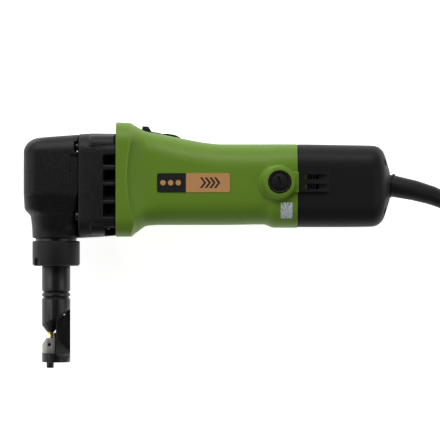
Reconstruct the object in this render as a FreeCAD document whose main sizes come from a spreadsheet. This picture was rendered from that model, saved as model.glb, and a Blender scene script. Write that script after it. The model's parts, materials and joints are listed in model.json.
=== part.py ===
import FreeCAD, Part
import math
import os
import Sketcher
from FreeCAD import Placement, Rotation, Vector

os.makedirs("parts", exist_ok=True)
doc = FreeCAD.newDocument("nibbler")
sheet = doc.addObject("Spreadsheet::Sheet", "sizes")

# The tool lies on its left side: X runs from the head to the cord, Y from the punch up to the handle's
# switch, Z away from the surface it lies on. Inside each piece, lengths are measured from the motor axis.
DRIVING = {
    "axis_up": 47.6, "axis_lift": 36.5, "tube_at": -117.0,
    "head_front": -141.3, "head_seam": -98.8, "case_seam": -69.9, "cover_seam": 69.6, "cover_end": 141.3,
    "head_top": 37.6, "case_top": 38.7, "case_low": -41.0, "head_wide": 29.5, "case_wide": 32.0,
    "flange_top": 47.3, "flange_low": -40.8, "flange_wide": 36.5, "flange_back": -58.6,
    "handle_top": 30.6, "handle_low": -31.8, "handle_wide": 28.6,
    "cover_top": 29.6, "cover_low": -33.4, "cover_wide": 30.2, "wall": 2.4,
    "neck_radius": 18.4, "neck_low": -41.9, "spigot_radius": 15.5, "spigot_low": -55.0,
    "nut_top": -44.1, "nut_low": -63.4, "nut_radius": 18.4,
    "holder_radius": 11.0, "holder_low": -138.1, "throat_top": -114.7, "die_top": -119.35,
    "die_low": -130.9, "ram_radius": 7.0, "punch_radius": 2.35, "punch_offset": -4.3, "running_gap": 0.05,
    "tooth_module": 0.75, "pinion_teeth": 9, "gear_teeth": 40, "eccentric_throw": 2.5,
    "shaft_radius": 4.0, "core_radius": 15.5, "field_radius": 25.4, "fan_radius": 26.0,
    "brush_at": 54.8, "cap_radius": 8.85, "cord_radius": 3.75,
}


class Size:
    """A length with the sheet expression that gives it, so that geometry can be bound to the sheet."""

    def __init__(self, value, text):
        self.value = float(value)
        self.text = text

    def join(self, other, sign, value):
        return Size(value, "(%s %s %s)" % (self.text, sign, as_size(other).text))

    def __add__(self, other):
        return self.join(other, "+", self.value + as_size(other).value)

    def __sub__(self, other):
        return self.join(other, "-", self.value - as_size(other).value)

    def __mul__(self, other):
        return self.join(other, "*", self.value * as_size(other).value)

    def __truediv__(self, other):
        return self.join(other, "/", self.value / as_size(other).value)

    def __neg__(self):
        return Size(-self.value, "(-%s)" % self.text)


def as_size(number):
    return number if isinstance(number, Size) else Size(number, "%.4f" % number)


def fill_sheet():
    sizes = {}
    for row, (alias, number) in enumerate(DRIVING.items(), 1):
        sheet.set("A%d" % row, alias)
        sheet.set("B%d" % row, str(number))
        sheet.setAlias("B%d" % row, alias)
    doc.recompute()
    for alias in DRIVING:
        sizes[alias] = Size(sheet.get(alias), "sizes." + alias)
    return sizes


S = fill_sheet()
GEAR_RISE = S["tooth_module"] * (S["pinion_teeth"] + S["gear_teeth"]) / 2
OUTPUT = []


def bind(obj, prop, size):
    """Sets a property from the sheet, or from a plain number where nothing drives it."""
    obj.setExpression(prop, as_size(size).text)


def place(obj, x=0.0, y=0.0, z=0.0):
    """Puts a finished piece, drawn about the motor axis, in the part's frame and lists it for output."""
    bind(obj, "Placement.Base.x", x)
    bind(obj, "Placement.Base.y", S["axis_up"] + y)
    bind(obj, "Placement.Base.z", S["axis_lift"] + z)
    OUTPUT.append(obj)
    return obj


def origin_feature(body, role):
    return next(item for item in body.Origin.OriginFeatures if item.Role == role)


def new_body(name):
    body = doc.addObject("PartDesign::Body", name)
    body.Label = name
    return body


def new_sketch(body, plane="XY_Plane", offset=0.0):
    sketch = body.newObject("Sketcher::SketchObject", body.Name + "_sketch")
    sketch.AttachmentSupport = [(origin_feature(body, plane), "")]
    sketch.MapMode = "FlatFace"
    bind(sketch, "AttachmentOffset.Base.z", offset)
    return sketch


def fix(sketch, kind, geo, point, size):
    """Holds one coordinate of a sketch point at a driven distance from the origin."""
    if as_size(size).value == 0:
        axis = -2 if kind == "DistanceX" else -1
        sketch.addConstraint(Sketcher.Constraint("PointOnObject", geo, point, axis))
        return
    index = sketch.addConstraint(Sketcher.Constraint(kind, -1, 1, geo, point, as_size(size).value))
    bind(sketch, "Constraints[%d]" % index, size)


def polygon(sketch, points):
    """A closed outline of straight lines through driven points."""
    spots = [(as_size(u), as_size(v)) for u, v in points]
    ids = []
    for (u0, v0), (u1, v1) in zip(spots, spots[1:] + spots[:1]):
        line = Part.LineSegment(Vector(u0.value, v0.value, 0), Vector(u1.value, v1.value, 0))
        ids.append(sketch.addGeometry(line))
    for index, geo in enumerate(ids):
        sketch.addConstraint(Sketcher.Constraint("Coincident", geo, 2, ids[(index + 1) % len(ids)], 1))
        fix(sketch, "DistanceX", geo, 1, spots[index][0])
        fix(sketch, "DistanceY", geo, 1, spots[index][1])


def ring_spot(sketch, u, v, radius):
    """A driven circle."""
    u, v, radius = as_size(u), as_size(v), as_size(radius)
    geo = sketch.addGeometry(Part.Circle(Vector(u.value, v.value, 0), Vector(0, 0, 1), radius.value))
    index = sketch.addConstraint(Sketcher.Constraint("Radius", geo, radius.value))
    bind(sketch, "Constraints[%d]" % index, radius)
    fix(sketch, "DistanceX", geo, 3, u)
    fix(sketch, "DistanceY", geo, 3, v)


def rounded_section(sketch, low, high, wide, radius):
    """A rectangle with round corners: from low to high across, and wide to each side of the axis."""
    low, high, wide, radius = as_size(low), as_size(high), as_size(wide), as_size(radius)
    a, b, w, r = low.value, high.value, wide.value, radius.value
    lines = [((a + r, -w), (b - r, -w)), ((b, r - w), (b, w - r)),
             ((b - r, w), (a + r, w)), ((a, w - r), (a, r - w))]
    centres = [(b - r, r - w, -90), (b - r, w - r, 0), (a + r, w - r, 90), (a + r, r - w, 180)]
    line_ids, arc_ids = [], []
    for (start, stop), (u, v, turn) in zip(lines, centres):
        line_ids.append(sketch.addGeometry(Part.LineSegment(Vector(*start, 0), Vector(*stop, 0))))
        circle = Part.Circle(Vector(u, v, 0), Vector(0, 0, 1), r)
        arc = Part.ArcOfCircle(circle, math.radians(turn), math.radians(turn + 90))
        arc_ids.append(sketch.addGeometry(arc))
    for index, (line, arc) in enumerate(zip(line_ids, arc_ids)):
        sketch.addConstraint(Sketcher.Constraint("Tangent", line, 2, arc, 1))
        sketch.addConstraint(Sketcher.Constraint("Tangent", arc, 2, line_ids[(index + 1) % 4], 1))
        if index:
            sketch.addConstraint(Sketcher.Constraint("Equal", arc_ids[0], arc))
    for kind, line in (("Horizontal", 0), ("Vertical", 1), ("Horizontal", 2), ("Vertical", 3)):
        sketch.addConstraint(Sketcher.Constraint(kind, line_ids[line]))
    fix(sketch, "DistanceX", line_ids[3], 1, low)
    fix(sketch, "DistanceX", line_ids[1], 1, high)
    fix(sketch, "DistanceY", line_ids[0], 1, -wide)
    fix(sketch, "DistanceY", line_ids[2], 1, wide)
    index = sketch.addConstraint(Sketcher.Constraint("Radius", arc_ids[0], r))
    bind(sketch, "Constraints[%d]" % index, radius)


def turn_profile(body, points, axis="X_Axis", cut=False):
    """A revolved outline: each point is (along the axis, radius)."""
    sketch = new_sketch(body)
    if axis == "Y_Axis":
        points = [(radius, along) for along, radius in points]
    polygon(sketch, points)
    kind = "PartDesign::Groove" if cut else "PartDesign::Revolution"
    feature = body.newObject(kind, body.Name + ("_bore" if cut else "_turned"))
    feature.Profile = sketch
    feature.ReferenceAxis = (origin_feature(body, axis), [""])
    feature.Angle = 360
    doc.recompute()
    return feature


def turned(name, points, axis="X_Axis", x=0.0, y=0.0):
    """A sub-part that is one turned piece."""
    body = new_body(name)
    turn_profile(body, points, axis)
    return place(body, x, y)


def ring(name, start, stop, inner, outer, **where):
    return turned(name, [(start, inner), (start, outer), (stop, outer), (stop, inner)], **where)


def extrude(body, sketch, length, cut=False, symmetric=True, reverse=False):
    feature = body.newObject("PartDesign::Pocket" if cut else "PartDesign::Pad", body.Name + "_run")
    feature.Profile = sketch
    feature.SideType = "Symmetric" if symmetric else "One side"
    feature.Reversed = reverse
    bind(feature, "Length", length)
    doc.recompute()
    return feature


def loft(body, sections, cut=False):
    """A ruled shell through rounded sections: (along, low, high, half width, corner radius)."""
    sketches = []
    for along, low, high, wide, radius in sections:
        sketch = new_sketch(body, "YZ_Plane", along)
        rounded_section(sketch, low, high, wide, radius)
        sketches.append(sketch)
    kind = "PartDesign::SubtractiveLoft" if cut else "PartDesign::AdditiveLoft"
    feature = body.newObject(kind, body.Name + "_loft")
    feature.Profile = sketches[0]
    feature.Sections = sketches[1:]
    feature.Ruled = True
    doc.recompute()
    return feature


def cut_check(body, feature, before):
    """A cut that misses removes nothing and shows no error, so the volume is compared."""
    if not body.Shape.Volume < before - 0.01:
        raise RuntimeError(feature.Name + " cut nothing from " + body.Name)


def pocket_block(body, u, v, wide, tall, length, plane="XY_Plane", offset=0.0, symmetric=True, reverse=False):
    """A rectangular cut through the body, centred at u, v of a plane."""
    before = body.Shape.Volume
    sketch = new_sketch(body, plane, offset)
    u, v, wide, tall = as_size(u), as_size(v), as_size(wide) / 2, as_size(tall) / 2
    polygon(sketch, [(u - wide, v - tall), (u + wide, v - tall), (u + wide, v + tall), (u - wide, v + tall)])
    cut_check(body, extrude(body, sketch, length, True, symmetric, reverse), before)


def pocket_round(body, u, v, radius, length, plane="XY_Plane", offset=0.0, symmetric=True, reverse=False):
    before = body.Shape.Volume
    sketch = new_sketch(body, plane, offset)
    ring_spot(sketch, u, v, radius)
    cut_check(body, extrude(body, sketch, length, True, symmetric, reverse), before)


def block(x, y, z):
    """A box between driven limits, each given as (low, high)."""
    box = doc.addObject("Part::Box", "block")
    for side, prop, (low, high) in zip("xyz", ("Length", "Width", "Height"), (x, y, z)):
        bind(box, "Placement.Base." + side, low)
        bind(box, prop, as_size(high) - low)
    return box


AXIS_TURN = {"x": Rotation(Vector(0, 1, 0), 90), "y": Rotation(Vector(1, 0, 0), -90), "z": Rotation()}


def rod(axis, start, stop, u, v, radius):
    """A cylinder along one axis; u and v are its place on the other two, in alphabetical order."""
    cylinder = doc.addObject("Part::Cylinder", "rod")
    cylinder.Placement = Placement(Vector(), AXIS_TURN[axis])
    bind(cylinder, "Radius", radius)
    bind(cylinder, "Height", as_size(stop) - start)
    bind(cylinder, "Placement.Base." + axis, start)
    for side, spot in zip([side for side in "xyz" if side != axis], (u, v)):
        bind(cylinder, "Placement.Base." + side, spot)
    return cylinder


def fused(*pieces):
    if len(pieces) == 1:
        return pieces[0]
    fuse = doc.addObject("Part::MultiFuse", "fused")
    fuse.Shapes = list(pieces)
    return fuse


def carved(base, *tools):
    cut = doc.addObject("Part::Cut", "carved")
    cut.Base = base
    cut.Tool = fused(*tools)
    return cut


def named(obj, name):
    """Gives a finished piece its name; a bare primitive is wrapped first, so that it keeps its own place."""
    if obj.TypeId in ("Part::Box", "Part::Cylinder"):
        wrap = doc.addObject("Part::Compound", name)
        wrap.Links = [obj]
        obj = wrap
    obj.Label = name
    return obj


def made(name, shape, x=0.0, y=0.0, z=0.0):
    """A sub-part whose shape is worked out in code from the sheet's numbers."""
    feature = doc.addObject("Part::Feature", name)
    feature.Label = name
    feature.Shape = shape
    return place(feature, x, y, z)


# Housings and castings.

HEAD_SCREWS = [(y, z) for y in (-24.8, 28.5) for z in (-23.0, 23.0)]
CASE_SCREWS = [(y, z) for y in (-32.0, 30.0) for z in (-23.5, 23.5)]
COVER_SCREWS = [(-21.0, -16.0), (-21.0, 16.0), (17.0, -19.0), (17.0, 19.0)]
SLOPE = math.atan2(7.6, 38.0)  # fall of the switch track towards the handle
FLANGE_TRIM = 0.3  # what the flange's two sides stand proud before they are cut flat


def track_height(x):
    """Height of the switch track's floor above the motor axis."""
    return 41.5 - (x + 58.0) * math.tan(SLOPE)


def motor_housing():
    body = new_body("motor_housing")
    top, low, wide = S["handle_top"], S["handle_low"], S["handle_wide"]
    flange_top, flange_low, flange_wide = S["flange_top"], S["flange_low"], S["flange_wide"]
    back = S["flange_back"]
    loft(body, [
        (S["case_seam"], flange_low, flange_top, flange_wide + FLANGE_TRIM, 15),
        (back, flange_low, flange_top - 0.4, flange_wide + FLANGE_TRIM, 15),
        (back + 4.4, flange_low + 3.6, flange_top - 3.2, flange_wide - 4.2, 15),
        (back + 12, low - 0.7, top + 9.7, wide + 0.9, 16),
        (back + 22.5, low, top + 7.8, wide, 17),
        (back + 41, low, top + 4.1, wide, 18),
        (back + 60, low, top + 0.8, wide, 18),
        (back + 70, low, top, wide, 18),
        (43.5, low + 0.4, top, wide, 18),
        (52.0, low - 2.1, top, wide + 1.6, 17),
        (S["cover_seam"], low - 2.1, top - 0.1, wide + 1.8, 16)])
    for side in (1, -1):
        pocket_block(body, -64.0, 3.0, 16.0, 96.0, 3.0, offset=flange_wide * side,
                     symmetric=False, reverse=side > 0)
    boss = new_sketch(body)
    ring_spot(boss, S["brush_at"], 0, 12.2)
    extrude(body, boss, flange_wide * 2)
    bore = S["field_radius"] + 0.1
    turn_profile(body, [(S["case_seam"] - 1, 0.0), (S["case_seam"] - 1, 28.5), (-52.0, 28.5), (-49.0, bore),
                        (42.0, bore), (44.0, 27.2), (66.0, 27.2), (66.0, 11.1), (S["cover_seam"] + 1, 11.1),
                        (S["cover_seam"] + 1, 0.0)], cut=True)
    pocket_round(body, S["brush_at"], 0, S["cap_radius"] + 0.1, 90)
    track = new_sketch(body)
    polygon(track, [(-58.0, track_height(-58.0)), (-19.5, track_height(-19.5)), (-19.5, 60.0), (-58.0, 60.0)])
    extrude(body, track, 16.4, cut=True)
    pocket_block(body, 10.5, 26.0, 121.0, 4.6, 9.0)
    pocket_block(body, -39.0, 34.0, 12.0, 20.0, 5.4)
    for y, z in CASE_SCREWS:
        pocket_round(body, y, z, 1.95, 10.0, "YZ_Plane", S["case_seam"] - 0.5, symmetric=False, reverse=True)
    for y, z in COVER_SCREWS:
        pocket_round(body, y, z, 1.95, 4.0, "YZ_Plane", 66.1, symmetric=False, reverse=True)
    return place(body)


def rear_cover():
    body = new_body("rear_cover")
    top, low, wide, wall = S["cover_top"], S["cover_low"], S["cover_wide"], S["wall"]
    seam, end = S["cover_seam"], S["cover_end"]
    loft(body, [
        (seam, low, top + 0.8, wide, 16),
        (128.0, low + 0.2, top, wide - 0.6, 16),
        (133.0, low + 2.2, top - 1.0, wide - 1.6, 16),
        (137.0, low + 6.4, top - 4.6, wide - 5.0, 15),
        (end - 1.2, low + 15.0, top - 12.0, wide - 13.0, 9),
        (end, low + 21.0, top - 17.5, wide - 18.0, 8)])
    for side in (1, -1):
        vent = new_sketch(body, offset=(wide - 3) * side)
        polygon(vent, [(seam, -7.6), (92.0, -7.6), (92.0, 7.6), (seam, 7.6)])
        extrude(body, vent, 4.6, symmetric=False, reverse=side < 0)
    roof = top - 1.5
    loft(body, [(seam - 1, low + wall, roof, wide - wall, 13), (127.0, low + wall, roof, wide - wall, 13),
                (135.0, low + 9.0, top - 8.0, wide - 8.0, 10)], cut=True)
    for y, z in COVER_SCREWS:
        post = new_sketch(body, "YZ_Plane", seam)
        ring_spot(post, y, z, 4.6)
        extrude(body, post, 134.0 - seam.value, symmetric=False)
        pocket_round(body, y, z, 3.3, 20.0, "YZ_Plane", 128.5, symmetric=False, reverse=True)
        pocket_round(body, y, z, 1.95, 70.0, "YZ_Plane", seam - 0.5, symmetric=False, reverse=True)
    pocket_round(body, -1.0, 0, 8.6, 12, "YZ_Plane", 134.0, symmetric=False, reverse=True)
    for side in (-1, 1):
        pocket_block(body, 79.5, 3.9 * side, 11.0, 3.6, 90)
    return place(body)


def gear_case():
    body = new_body("gear_case")
    top, low, wide = S["case_top"], S["case_low"], S["case_wide"]
    front, back = S["head_seam"], S["case_seam"]
    loft(body, [(front, low - 0.9, top - 0.4, wide - 1.6, 13), (front + 9, low - 0.3, top, wide, 14),
                (back, low + 1.0, top, wide + 1.0, 15)])
    pocket_block(body, 10.5, 0, 49.0, 38.0, 14.2, "YZ_Plane", front - 0.1, symmetric=False, reverse=True)
    turn_profile(body, [(-75.0, 0.0), (-75.0, 27.5), (back + 1, 27.5), (back + 1, 0.0)], cut=True)
    for y, z in HEAD_SCREWS:
        pocket_round(body, y, z, 1.95, 10.0, "YZ_Plane", front - 0.5, symmetric=False, reverse=True)
    pocket_round(body, 0, 0, 11.0, 12, "YZ_Plane", -86.0, symmetric=False, reverse=True)
    pocket_round(body, GEAR_RISE, 0, 6.0, 12, "YZ_Plane", -86.0, symmetric=False, reverse=True)
    for low_edge, high_edge in ((-25.7, -15.9), (-12.9, -2.3), (0.6, 9.6), (13.3, 20.8)):
        pocket_block(body, -73.7, (low_edge + high_edge) / 2, 6.6, high_edge - low_edge, 90)
    for y, z in CASE_SCREWS:
        pocket_round(body, y, z, 3.4, 25.0, "YZ_Plane", back - 4.6, symmetric=False)
        pocket_round(body, y, z, 1.95, 6.0, "YZ_Plane", back - 5.0, symmetric=False, reverse=True)
    return place(body)


def gear_head():
    """Front casting: block with a rounded nose, and the turned neck that carries the collar nut."""
    front, seam, top, wide = S["head_front"], S["head_seam"], S["head_top"], S["head_wide"]
    tube = S["tube_at"]
    side = new_body("head_side")
    profile = new_sketch(side)
    polygon(profile, [(front, -19.0), (front, 24.5), (front + 1.6, 31.0), (front + 6.0, top - 1.6),
                      (front + 12.0, top - 0.4), (seam, top + 0.6), (seam, -37.5), (tube + 16.0, -40.0),
                      (front + 7.0, -40.0), (front + 5.8, -31.0), (front + 3.6, -25.5)])
    extrude(side, profile, 80)
    plan = new_body("head_plan")
    loft(plan, [(front, -60, top + 4, wide - 7.5, 10), (front + 5.0, -60, top + 4, wide - 2.0, 12),
                (front + 12.0, -60, top + 4, wide, 12), (seam, -60, top + 4, wide + 0.9, 12)])
    block_part = doc.addObject("Part::Common", "head_block")
    block_part.Base, block_part.Tool = side, plan
    lower = carved(block((front - 5, seam + 5), (-50.0, -22.0), (-40, 40)),
                   rod("y", -51.0, -21.0, tube, 0, S["neck_radius"]))
    upper = carved(block_part, lower)
    neck = rod("y", S["neck_low"], -15.0, tube, 0, S["neck_radius"])
    spigot = rod("y", S["spigot_low"], -15.0, tube, 0, S["spigot_radius"])
    cavity = block((front + 5.5, seam + 1), (-5.5, top - 2.2), (-19.0, 19.0))
    bush_bore = rod("y", S["spigot_low"] - 1, 0, tube, 0, 9.0)
    pockets = [rod("x", seam - 2.4, seam + 1, y, z, 3.4) for y, z in HEAD_SCREWS]
    beyond = block((seam, seam + 5), (-60, 60), (-40, 40))
    body = carved(fused(upper, neck, spigot), cavity, bush_bore, beyond, *pockets)
    return place(named(body, "gear_head"))


# Motor, gears and ram.

def tooth_flank(base, start, stop, steps=7):
    """Involute from one radius to another, as (radius, turn) pairs."""
    spots = []
    for step in range(steps + 1):
        radius = max(start, base) + (stop - max(start, base)) * step / steps
        roll = math.sqrt(max((radius / base) ** 2 - 1, 0))
        spots.append((radius, roll - math.atan(roll)))
    return spots


def spur(teeth, inner, start, stop, phase):
    """A straight-cut gear with stub teeth and a little backlash, along X."""
    module, pressure, backlash = S["tooth_module"].value, math.radians(25), 0.06
    pitch = module * teeth / 2
    base, outer, root = pitch * math.cos(pressure), pitch + 0.8 * module, pitch - 1.1 * module
    flank = tooth_flank(base, root, outer)
    half = math.pi / (2 * teeth) - backlash / pitch + math.tan(pressure) - pressure
    outline = []
    for tooth in range(teeth):
        middle = phase + tooth * 2 * math.pi / teeth
        side = [(root, half - flank[0][1])] + [(radius, half - turn) for radius, turn in flank]
        for radius, turn in [(r, -t) for r, t in side] + side[::-1]:
            outline.append(Vector(0, radius * math.cos(middle + turn), radius * math.sin(middle + turn)))
    outline.append(outline[0])
    face = Part.Face(Part.makePolygon(outline))
    gear = face.extrude(Vector(stop - start, 0, 0))
    gear.translate(Vector(start, 0, 0))
    return gear.cut(Part.makeCylinder(inner, stop - start + 2, Vector(start - 1, 0, 0), Vector(1, 0, 0)))


FAN_BLADES = 14


def rotor():
    shaft = S["shaft_radius"]
    turned("armature_shaft", [(-95.5, 0.0), (-95.5, 1.7), (-84.8, 1.7), (-84.8, shaft - 0.4), (-83.0, shaft),
                              (66.4, shaft), (66.4, 3.5), (76.0, 3.5), (76.0, 0.0)])
    made("motor_pinion", spur(int(S["pinion_teeth"].value), 1.7, -95.0, -85.0, 0.0))
    ring("armature_core", -28.8, 25.5, shaft, S["core_radius"])
    front = [(-40.4, shaft), (-40.4, 10.5), (-37.5, 13.6), (-28.8, 14.2), (-28.8, shaft)]
    back = [(25.5, shaft), (25.5, 14.2), (34.0, 13.4), (38.5, 9.0), (38.5, shaft)]
    coils = new_body("windings_front")
    turn_profile(coils, front)
    tail = new_body("windings_back")
    turn_profile(tail, back)
    place(named(fused(coils, tail), "armature_windings"))
    turned("commutator", [(41.0, shaft), (41.0, 12.0), (43.0, 13.0), (44.5, 13.0), (44.5, 11.5), (66.0, 11.5),
                          (66.0, shaft)])
    fan = ring_shape(-66.0, -52.8, shaft, 7.0).fuse(ring_shape(-54.4, -52.8, 6.8, S["fan_radius"].value))
    for blade in range(FAN_BLADES):
        vane = Part.makeBox(11.6, S["fan_radius"].value - 13.0, 1.4, Vector(-66.0, 12.0, -0.7))
        vane.rotate(Vector(0, 12.0, 0), Vector(1, 0, 0), 28)
        vane.rotate(Vector(), Vector(1, 0, 0), 360 * blade / FAN_BLADES)
        fan = fan.fuse(vane)
    made("fan", fan)
    turned("front_bearing", bearing_profile(-82.0, -75.0, shaft, 11.0))
    turned("rear_bearing", bearing_profile(67.4, 73.4, Size(3.5, "3.5"), 9.5))
    turned("bearing_sleeve", [(66.4, 5.6), (66.4, 11.1), (74.4, 11.1), (74.4, 9.5), (67.4, 9.5), (67.4, 5.6)])
    ring("field_core", -28.8, 25.5, S["core_radius"] + 0.7, S["field_radius"])
    for name, start, stop in (("field_coil_front", -42.5, -28.8), ("field_coil_back", 25.5, 39.0)):
        ring(name, start, stop, S["core_radius"] + 0.7, S["field_radius"] - 1.2)
    turned("air_baffle", [(-51.5, 20.0), (-51.5, 25.2), (-49.0, 25.2), (-49.0, 24.4), (-43.5, 24.4),
                          (-43.5, 23.4), (-50.3, 23.4), (-50.3, 20.0)])


def ring_shape(start, stop, inner, outer):
    inner, outer = as_size(inner).value, as_size(outer).value
    disc = Part.makeCylinder(outer, stop - start, Vector(start, 0, 0), Vector(1, 0, 0))
    return disc.cut(Part.makeCylinder(inner, stop - start, Vector(start, 0, 0), Vector(1, 0, 0)))


def bearing_profile(start, stop, inner, outer):
    """A closed bearing with a shallow shield groove on both faces."""
    inner, outer = as_size(inner), as_size(outer)
    low, high = inner + 1.6, outer - 1.8
    groove = 0.4
    face = [(start, inner), (start, low), (start + groove, low), (start + groove, high), (start, high),
            (start, outer)]
    back = [(stop, outer), (stop, high), (stop - groove, high), (stop - groove, low), (stop, low),
            (stop, inner)]
    return face + back


def crank():
    """Crank shaft above the motor shaft, with an eccentric over the tube axis."""
    throw, tube = S["eccentric_throw"], S["tube_at"]
    bar = fused(rod("x", -134.6, tube - 4.7, 0, 0, 3.5), rod("x", tube - 5.0, tube + 5.0, throw, 0, 4.0),
                rod("x", tube + 4.0, -97.0, 0, 0, 5.0), rod("x", -97.0, -85.6, 0, 0, 4.5),
                rod("x", -85.6, -75.6, 0, 0, 3.2), rod("x", -96.8, -95.2, 0, 0, 7.5))
    place(named(bar, "crank_shaft"), 0, GEAR_RISE)
    mesh_phase = math.pi + math.pi / S["gear_teeth"].value
    made("crank_gear", spur(int(S["gear_teeth"].value), 4.5, -94.4, -86.4, mesh_phase), 0, GEAR_RISE)
    roller = carved(rod("x", tube - 4.5, tube + 3.9, throw, 0, 5.0),
                    rod("x", tube - 5.0, tube + 5.0, throw, 0, 4.0))
    place(named(roller, "eccentric_roller"), 0, GEAR_RISE)
    ring("crank_front_bush", -135.8, -126.5, 3.55, 6.5, y=GEAR_RISE)
    ring("crank_rear_bush", -84.6, -75.6, 3.25, 6.0, y=GEAR_RISE)


def ram():
    """The yoke round the eccentric and the round ram under it."""
    tube, rise, radius = S["tube_at"], GEAR_RISE, S["ram_radius"]
    yoke = block((tube - 5.5, tube + 5.0), (rise - 13.3, rise + 13.3), (-11.0, 11.0))
    window = block((tube - 8, tube + 8), (rise - 10.4, rise + 10.4), (-8.0, 8.0))
    stem = rod("y", -91.0, rise - 12.0, tube, 0, radius)
    tongue = rod("y", -92.0, -85.0, tube, 0, 3.3)
    place(named(carved(fused(yoke, stem), window, tongue), "ram"))
    bush = carved(rod("y", S["spigot_low"] + 1.5, -6.5, tube, 0, 9.0),
                  rod("y", S["spigot_low"], -5.0, tube, 0, radius + S["running_gap"]))
    place(named(bush, "ram_bush"))
    tip = rod("y", S["die_top"] + 0.5, -96.5, tube + S["punch_offset"], 0, S["punch_radius"])
    head = rod("y", -98.4, -91.2, tube, 0, radius - 0.2)
    shank = rod("y", -92.0, -85.4, tube, 0, 3.2)
    place(named(fused(head, shank, tip), "punch"))


# Cutting end.

NOSE_LENGTH = 17.0  # height of the conical relief above the sheet gap
NUT_RELIEF = 0.2  # how far the tube is turned down where the nut hides it


def die_head():
    tube, radius, gap = S["tube_at"], S["holder_radius"], S["running_gap"]
    low, throat, die_top, die_low = S["holder_low"], S["throat_top"], S["die_top"], S["die_low"]
    body = new_body("holder_turned")
    ram_bore = S["ram_radius"] + gap
    collar_top, collar_low = S["spigot_low"] - 0.3, S["spigot_low"] - 3.6
    relief = radius - NUT_RELIEF
    outline = [(collar_top, ram_bore), (collar_top, 14.0), (collar_low, 14.0), (collar_low, relief),
               (S["nut_low"] - 0.6, relief), (S["nut_low"] - 1.0, radius)]
    for groove in (-82.5, -86.5):
        outline += [(groove, radius), (groove - 1.2, radius - 1.3), (groove - 2.4, radius)]
    outline += [(low + 0.6, radius), (low, radius - 0.6), (low, 0.0), (-101.5, 0.0), (-101.5, ram_bore)]
    turn_profile(body, outline, "Y_Axis")
    bind(body, "Placement.Base.x", tube)
    front = tube - radius - 3
    back = tube + radius + 3
    web = 1.9
    upper_cut, lower_cut = die_top + 11.8, die_top - 0.2
    sides = []
    for near, far in ((web, 14.0), (-14.0, -web)):
        wedge = new_body("side_recess")
        sketch = new_sketch(wedge, offset=near)
        polygon(sketch, [(tube + 0.6, upper_cut), (back, upper_cut + 15.2), (back, lower_cut - 12.0),
                         (tube + 0.6, lower_cut)])
        extrude(wedge, sketch, far - near, symmetric=False)
        sides.append(wedge)
    mouth = block((front, tube + 0.7), (die_top, throat), (-15, 15))
    nose = doc.addObject("Part::Cone", "nose")
    nose.Placement = Placement(Vector(), AXIS_TURN["y"])
    bind(nose, "Radius1", 2.6)
    bind(nose, "Radius2", 2.6 + NOSE_LENGTH * 0.787)
    bind(nose, "Height", NOSE_LENGTH)
    for side, spot in zip("xy", (tube + S["punch_offset"], throat)):
        bind(nose, "Placement.Base." + side, spot)
    round_nose = carved(block((front, tube + 0.7), (throat, throat + NOSE_LENGTH), (-15, 15)), nose)
    seat = block((front, tube - 0.45), (die_low, die_top + 0.5), (-15, 15))
    tip_hole = rod("y", throat - 1, -100.0, tube + S["punch_offset"], 0, S["punch_radius"] + gap)
    screw_hole = rod("y", low - 1, die_low + 1, tube - 4.6, 0, 2.0)
    holder = carved(body, fused(*sides), mouth, round_nose, seat, tip_hole, screw_hole)
    place(named(holder, "die_holder"))
    blank = doc.addObject("Part::Common", "die_blank")
    blank.Base = rod("y", die_low, die_top, tube, 0, radius - 0.25)
    blank.Tool = block((front, tube - 0.5), (die_low, die_top), (-8.5, 8.5))
    bevel = new_body("die_bevel")
    sketch = new_sketch(bevel)
    polygon(sketch, [(front, die_top + 1), (tube - 7.4, die_top + 1), (tube - 7.4, die_top),
                     (tube - 10.8, die_top - 5), (front, die_top - 5)])
    extrude(bevel, sketch, 30)
    hole = rod("y", die_top - 8, die_top + 1, tube + S["punch_offset"], 0, S["punch_radius"] + 0.08)
    pin_hole = rod("z", -12, 12, tube - 4.9, die_top - 4.9, 1.4)
    thread = rod("y", die_low - 1, die_low + 2.6, tube - 4.6, 0, 2.0)
    place(named(carved(blank, bevel, hole, pin_hole, thread), "die"))
    head = rod("y", low - 4.4, low, tube - 4.6, 0, 2.85)
    shank = rod("y", low, die_low + 2.5, tube - 4.6, 0, 2.0)
    socket = rod("y", low - 5, low - 2.2, tube - 4.6, 0, 1.6)
    place(named(carved(fused(head, shank), socket), "die_screw"))


def collar():
    """Smooth collar nut with two spanner notches in its lower rim, and the washer above it."""
    tube, top, low, radius = S["tube_at"], S["nut_top"], S["nut_low"], S["nut_radius"]
    body = new_body("collar_nut")
    inner, spigot = S["holder_radius"] + S["running_gap"], S["spigot_radius"] + S["running_gap"]
    shoulder = S["spigot_low"] - 3.9
    turn_profile(body, [(top, spigot), (top, radius - 0.8), (top - 0.8, radius), (low + 1.2, radius),
                        (low, radius - 1.2), (low, inner), (shoulder, inner), (shoulder, spigot)], "Y_Axis")
    sketch = new_sketch(body, "XZ_Plane", -low)
    polygon(sketch, [(-radius - 1, -2.6), (-radius + 2.6, -2.6), (-radius + 2.6, 2.6), (-radius - 1, 2.6)])
    notch = extrude(body, sketch, 5.4, cut=True, symmetric=False)
    notches = body.newObject("PartDesign::PolarPattern", "notches")
    notches.Originals = [notch]
    notches.Axis = (origin_feature(body, "Y_Axis"), [""])
    notches.Angle = 90
    notches.Reversed = True
    notches.Occurrences = 2
    body.Tip = notches
    doc.recompute()
    place(body, tube)
    ring("neck_washer", top + 0.05, S["neck_low"] - 0.05, S["spigot_radius"], 17.4, axis="Y_Axis", x=tube)


# Brushes, switch, screws and labels.

def pair(name, make):
    """One node for the two identical pieces on the near and the far side."""
    return place(named(fused(*[make(side) for side in (1, -1)]), name))


def reach(side, near, far):
    return (near, far) if side > 0 else (-as_size(far), -as_size(near))


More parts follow.
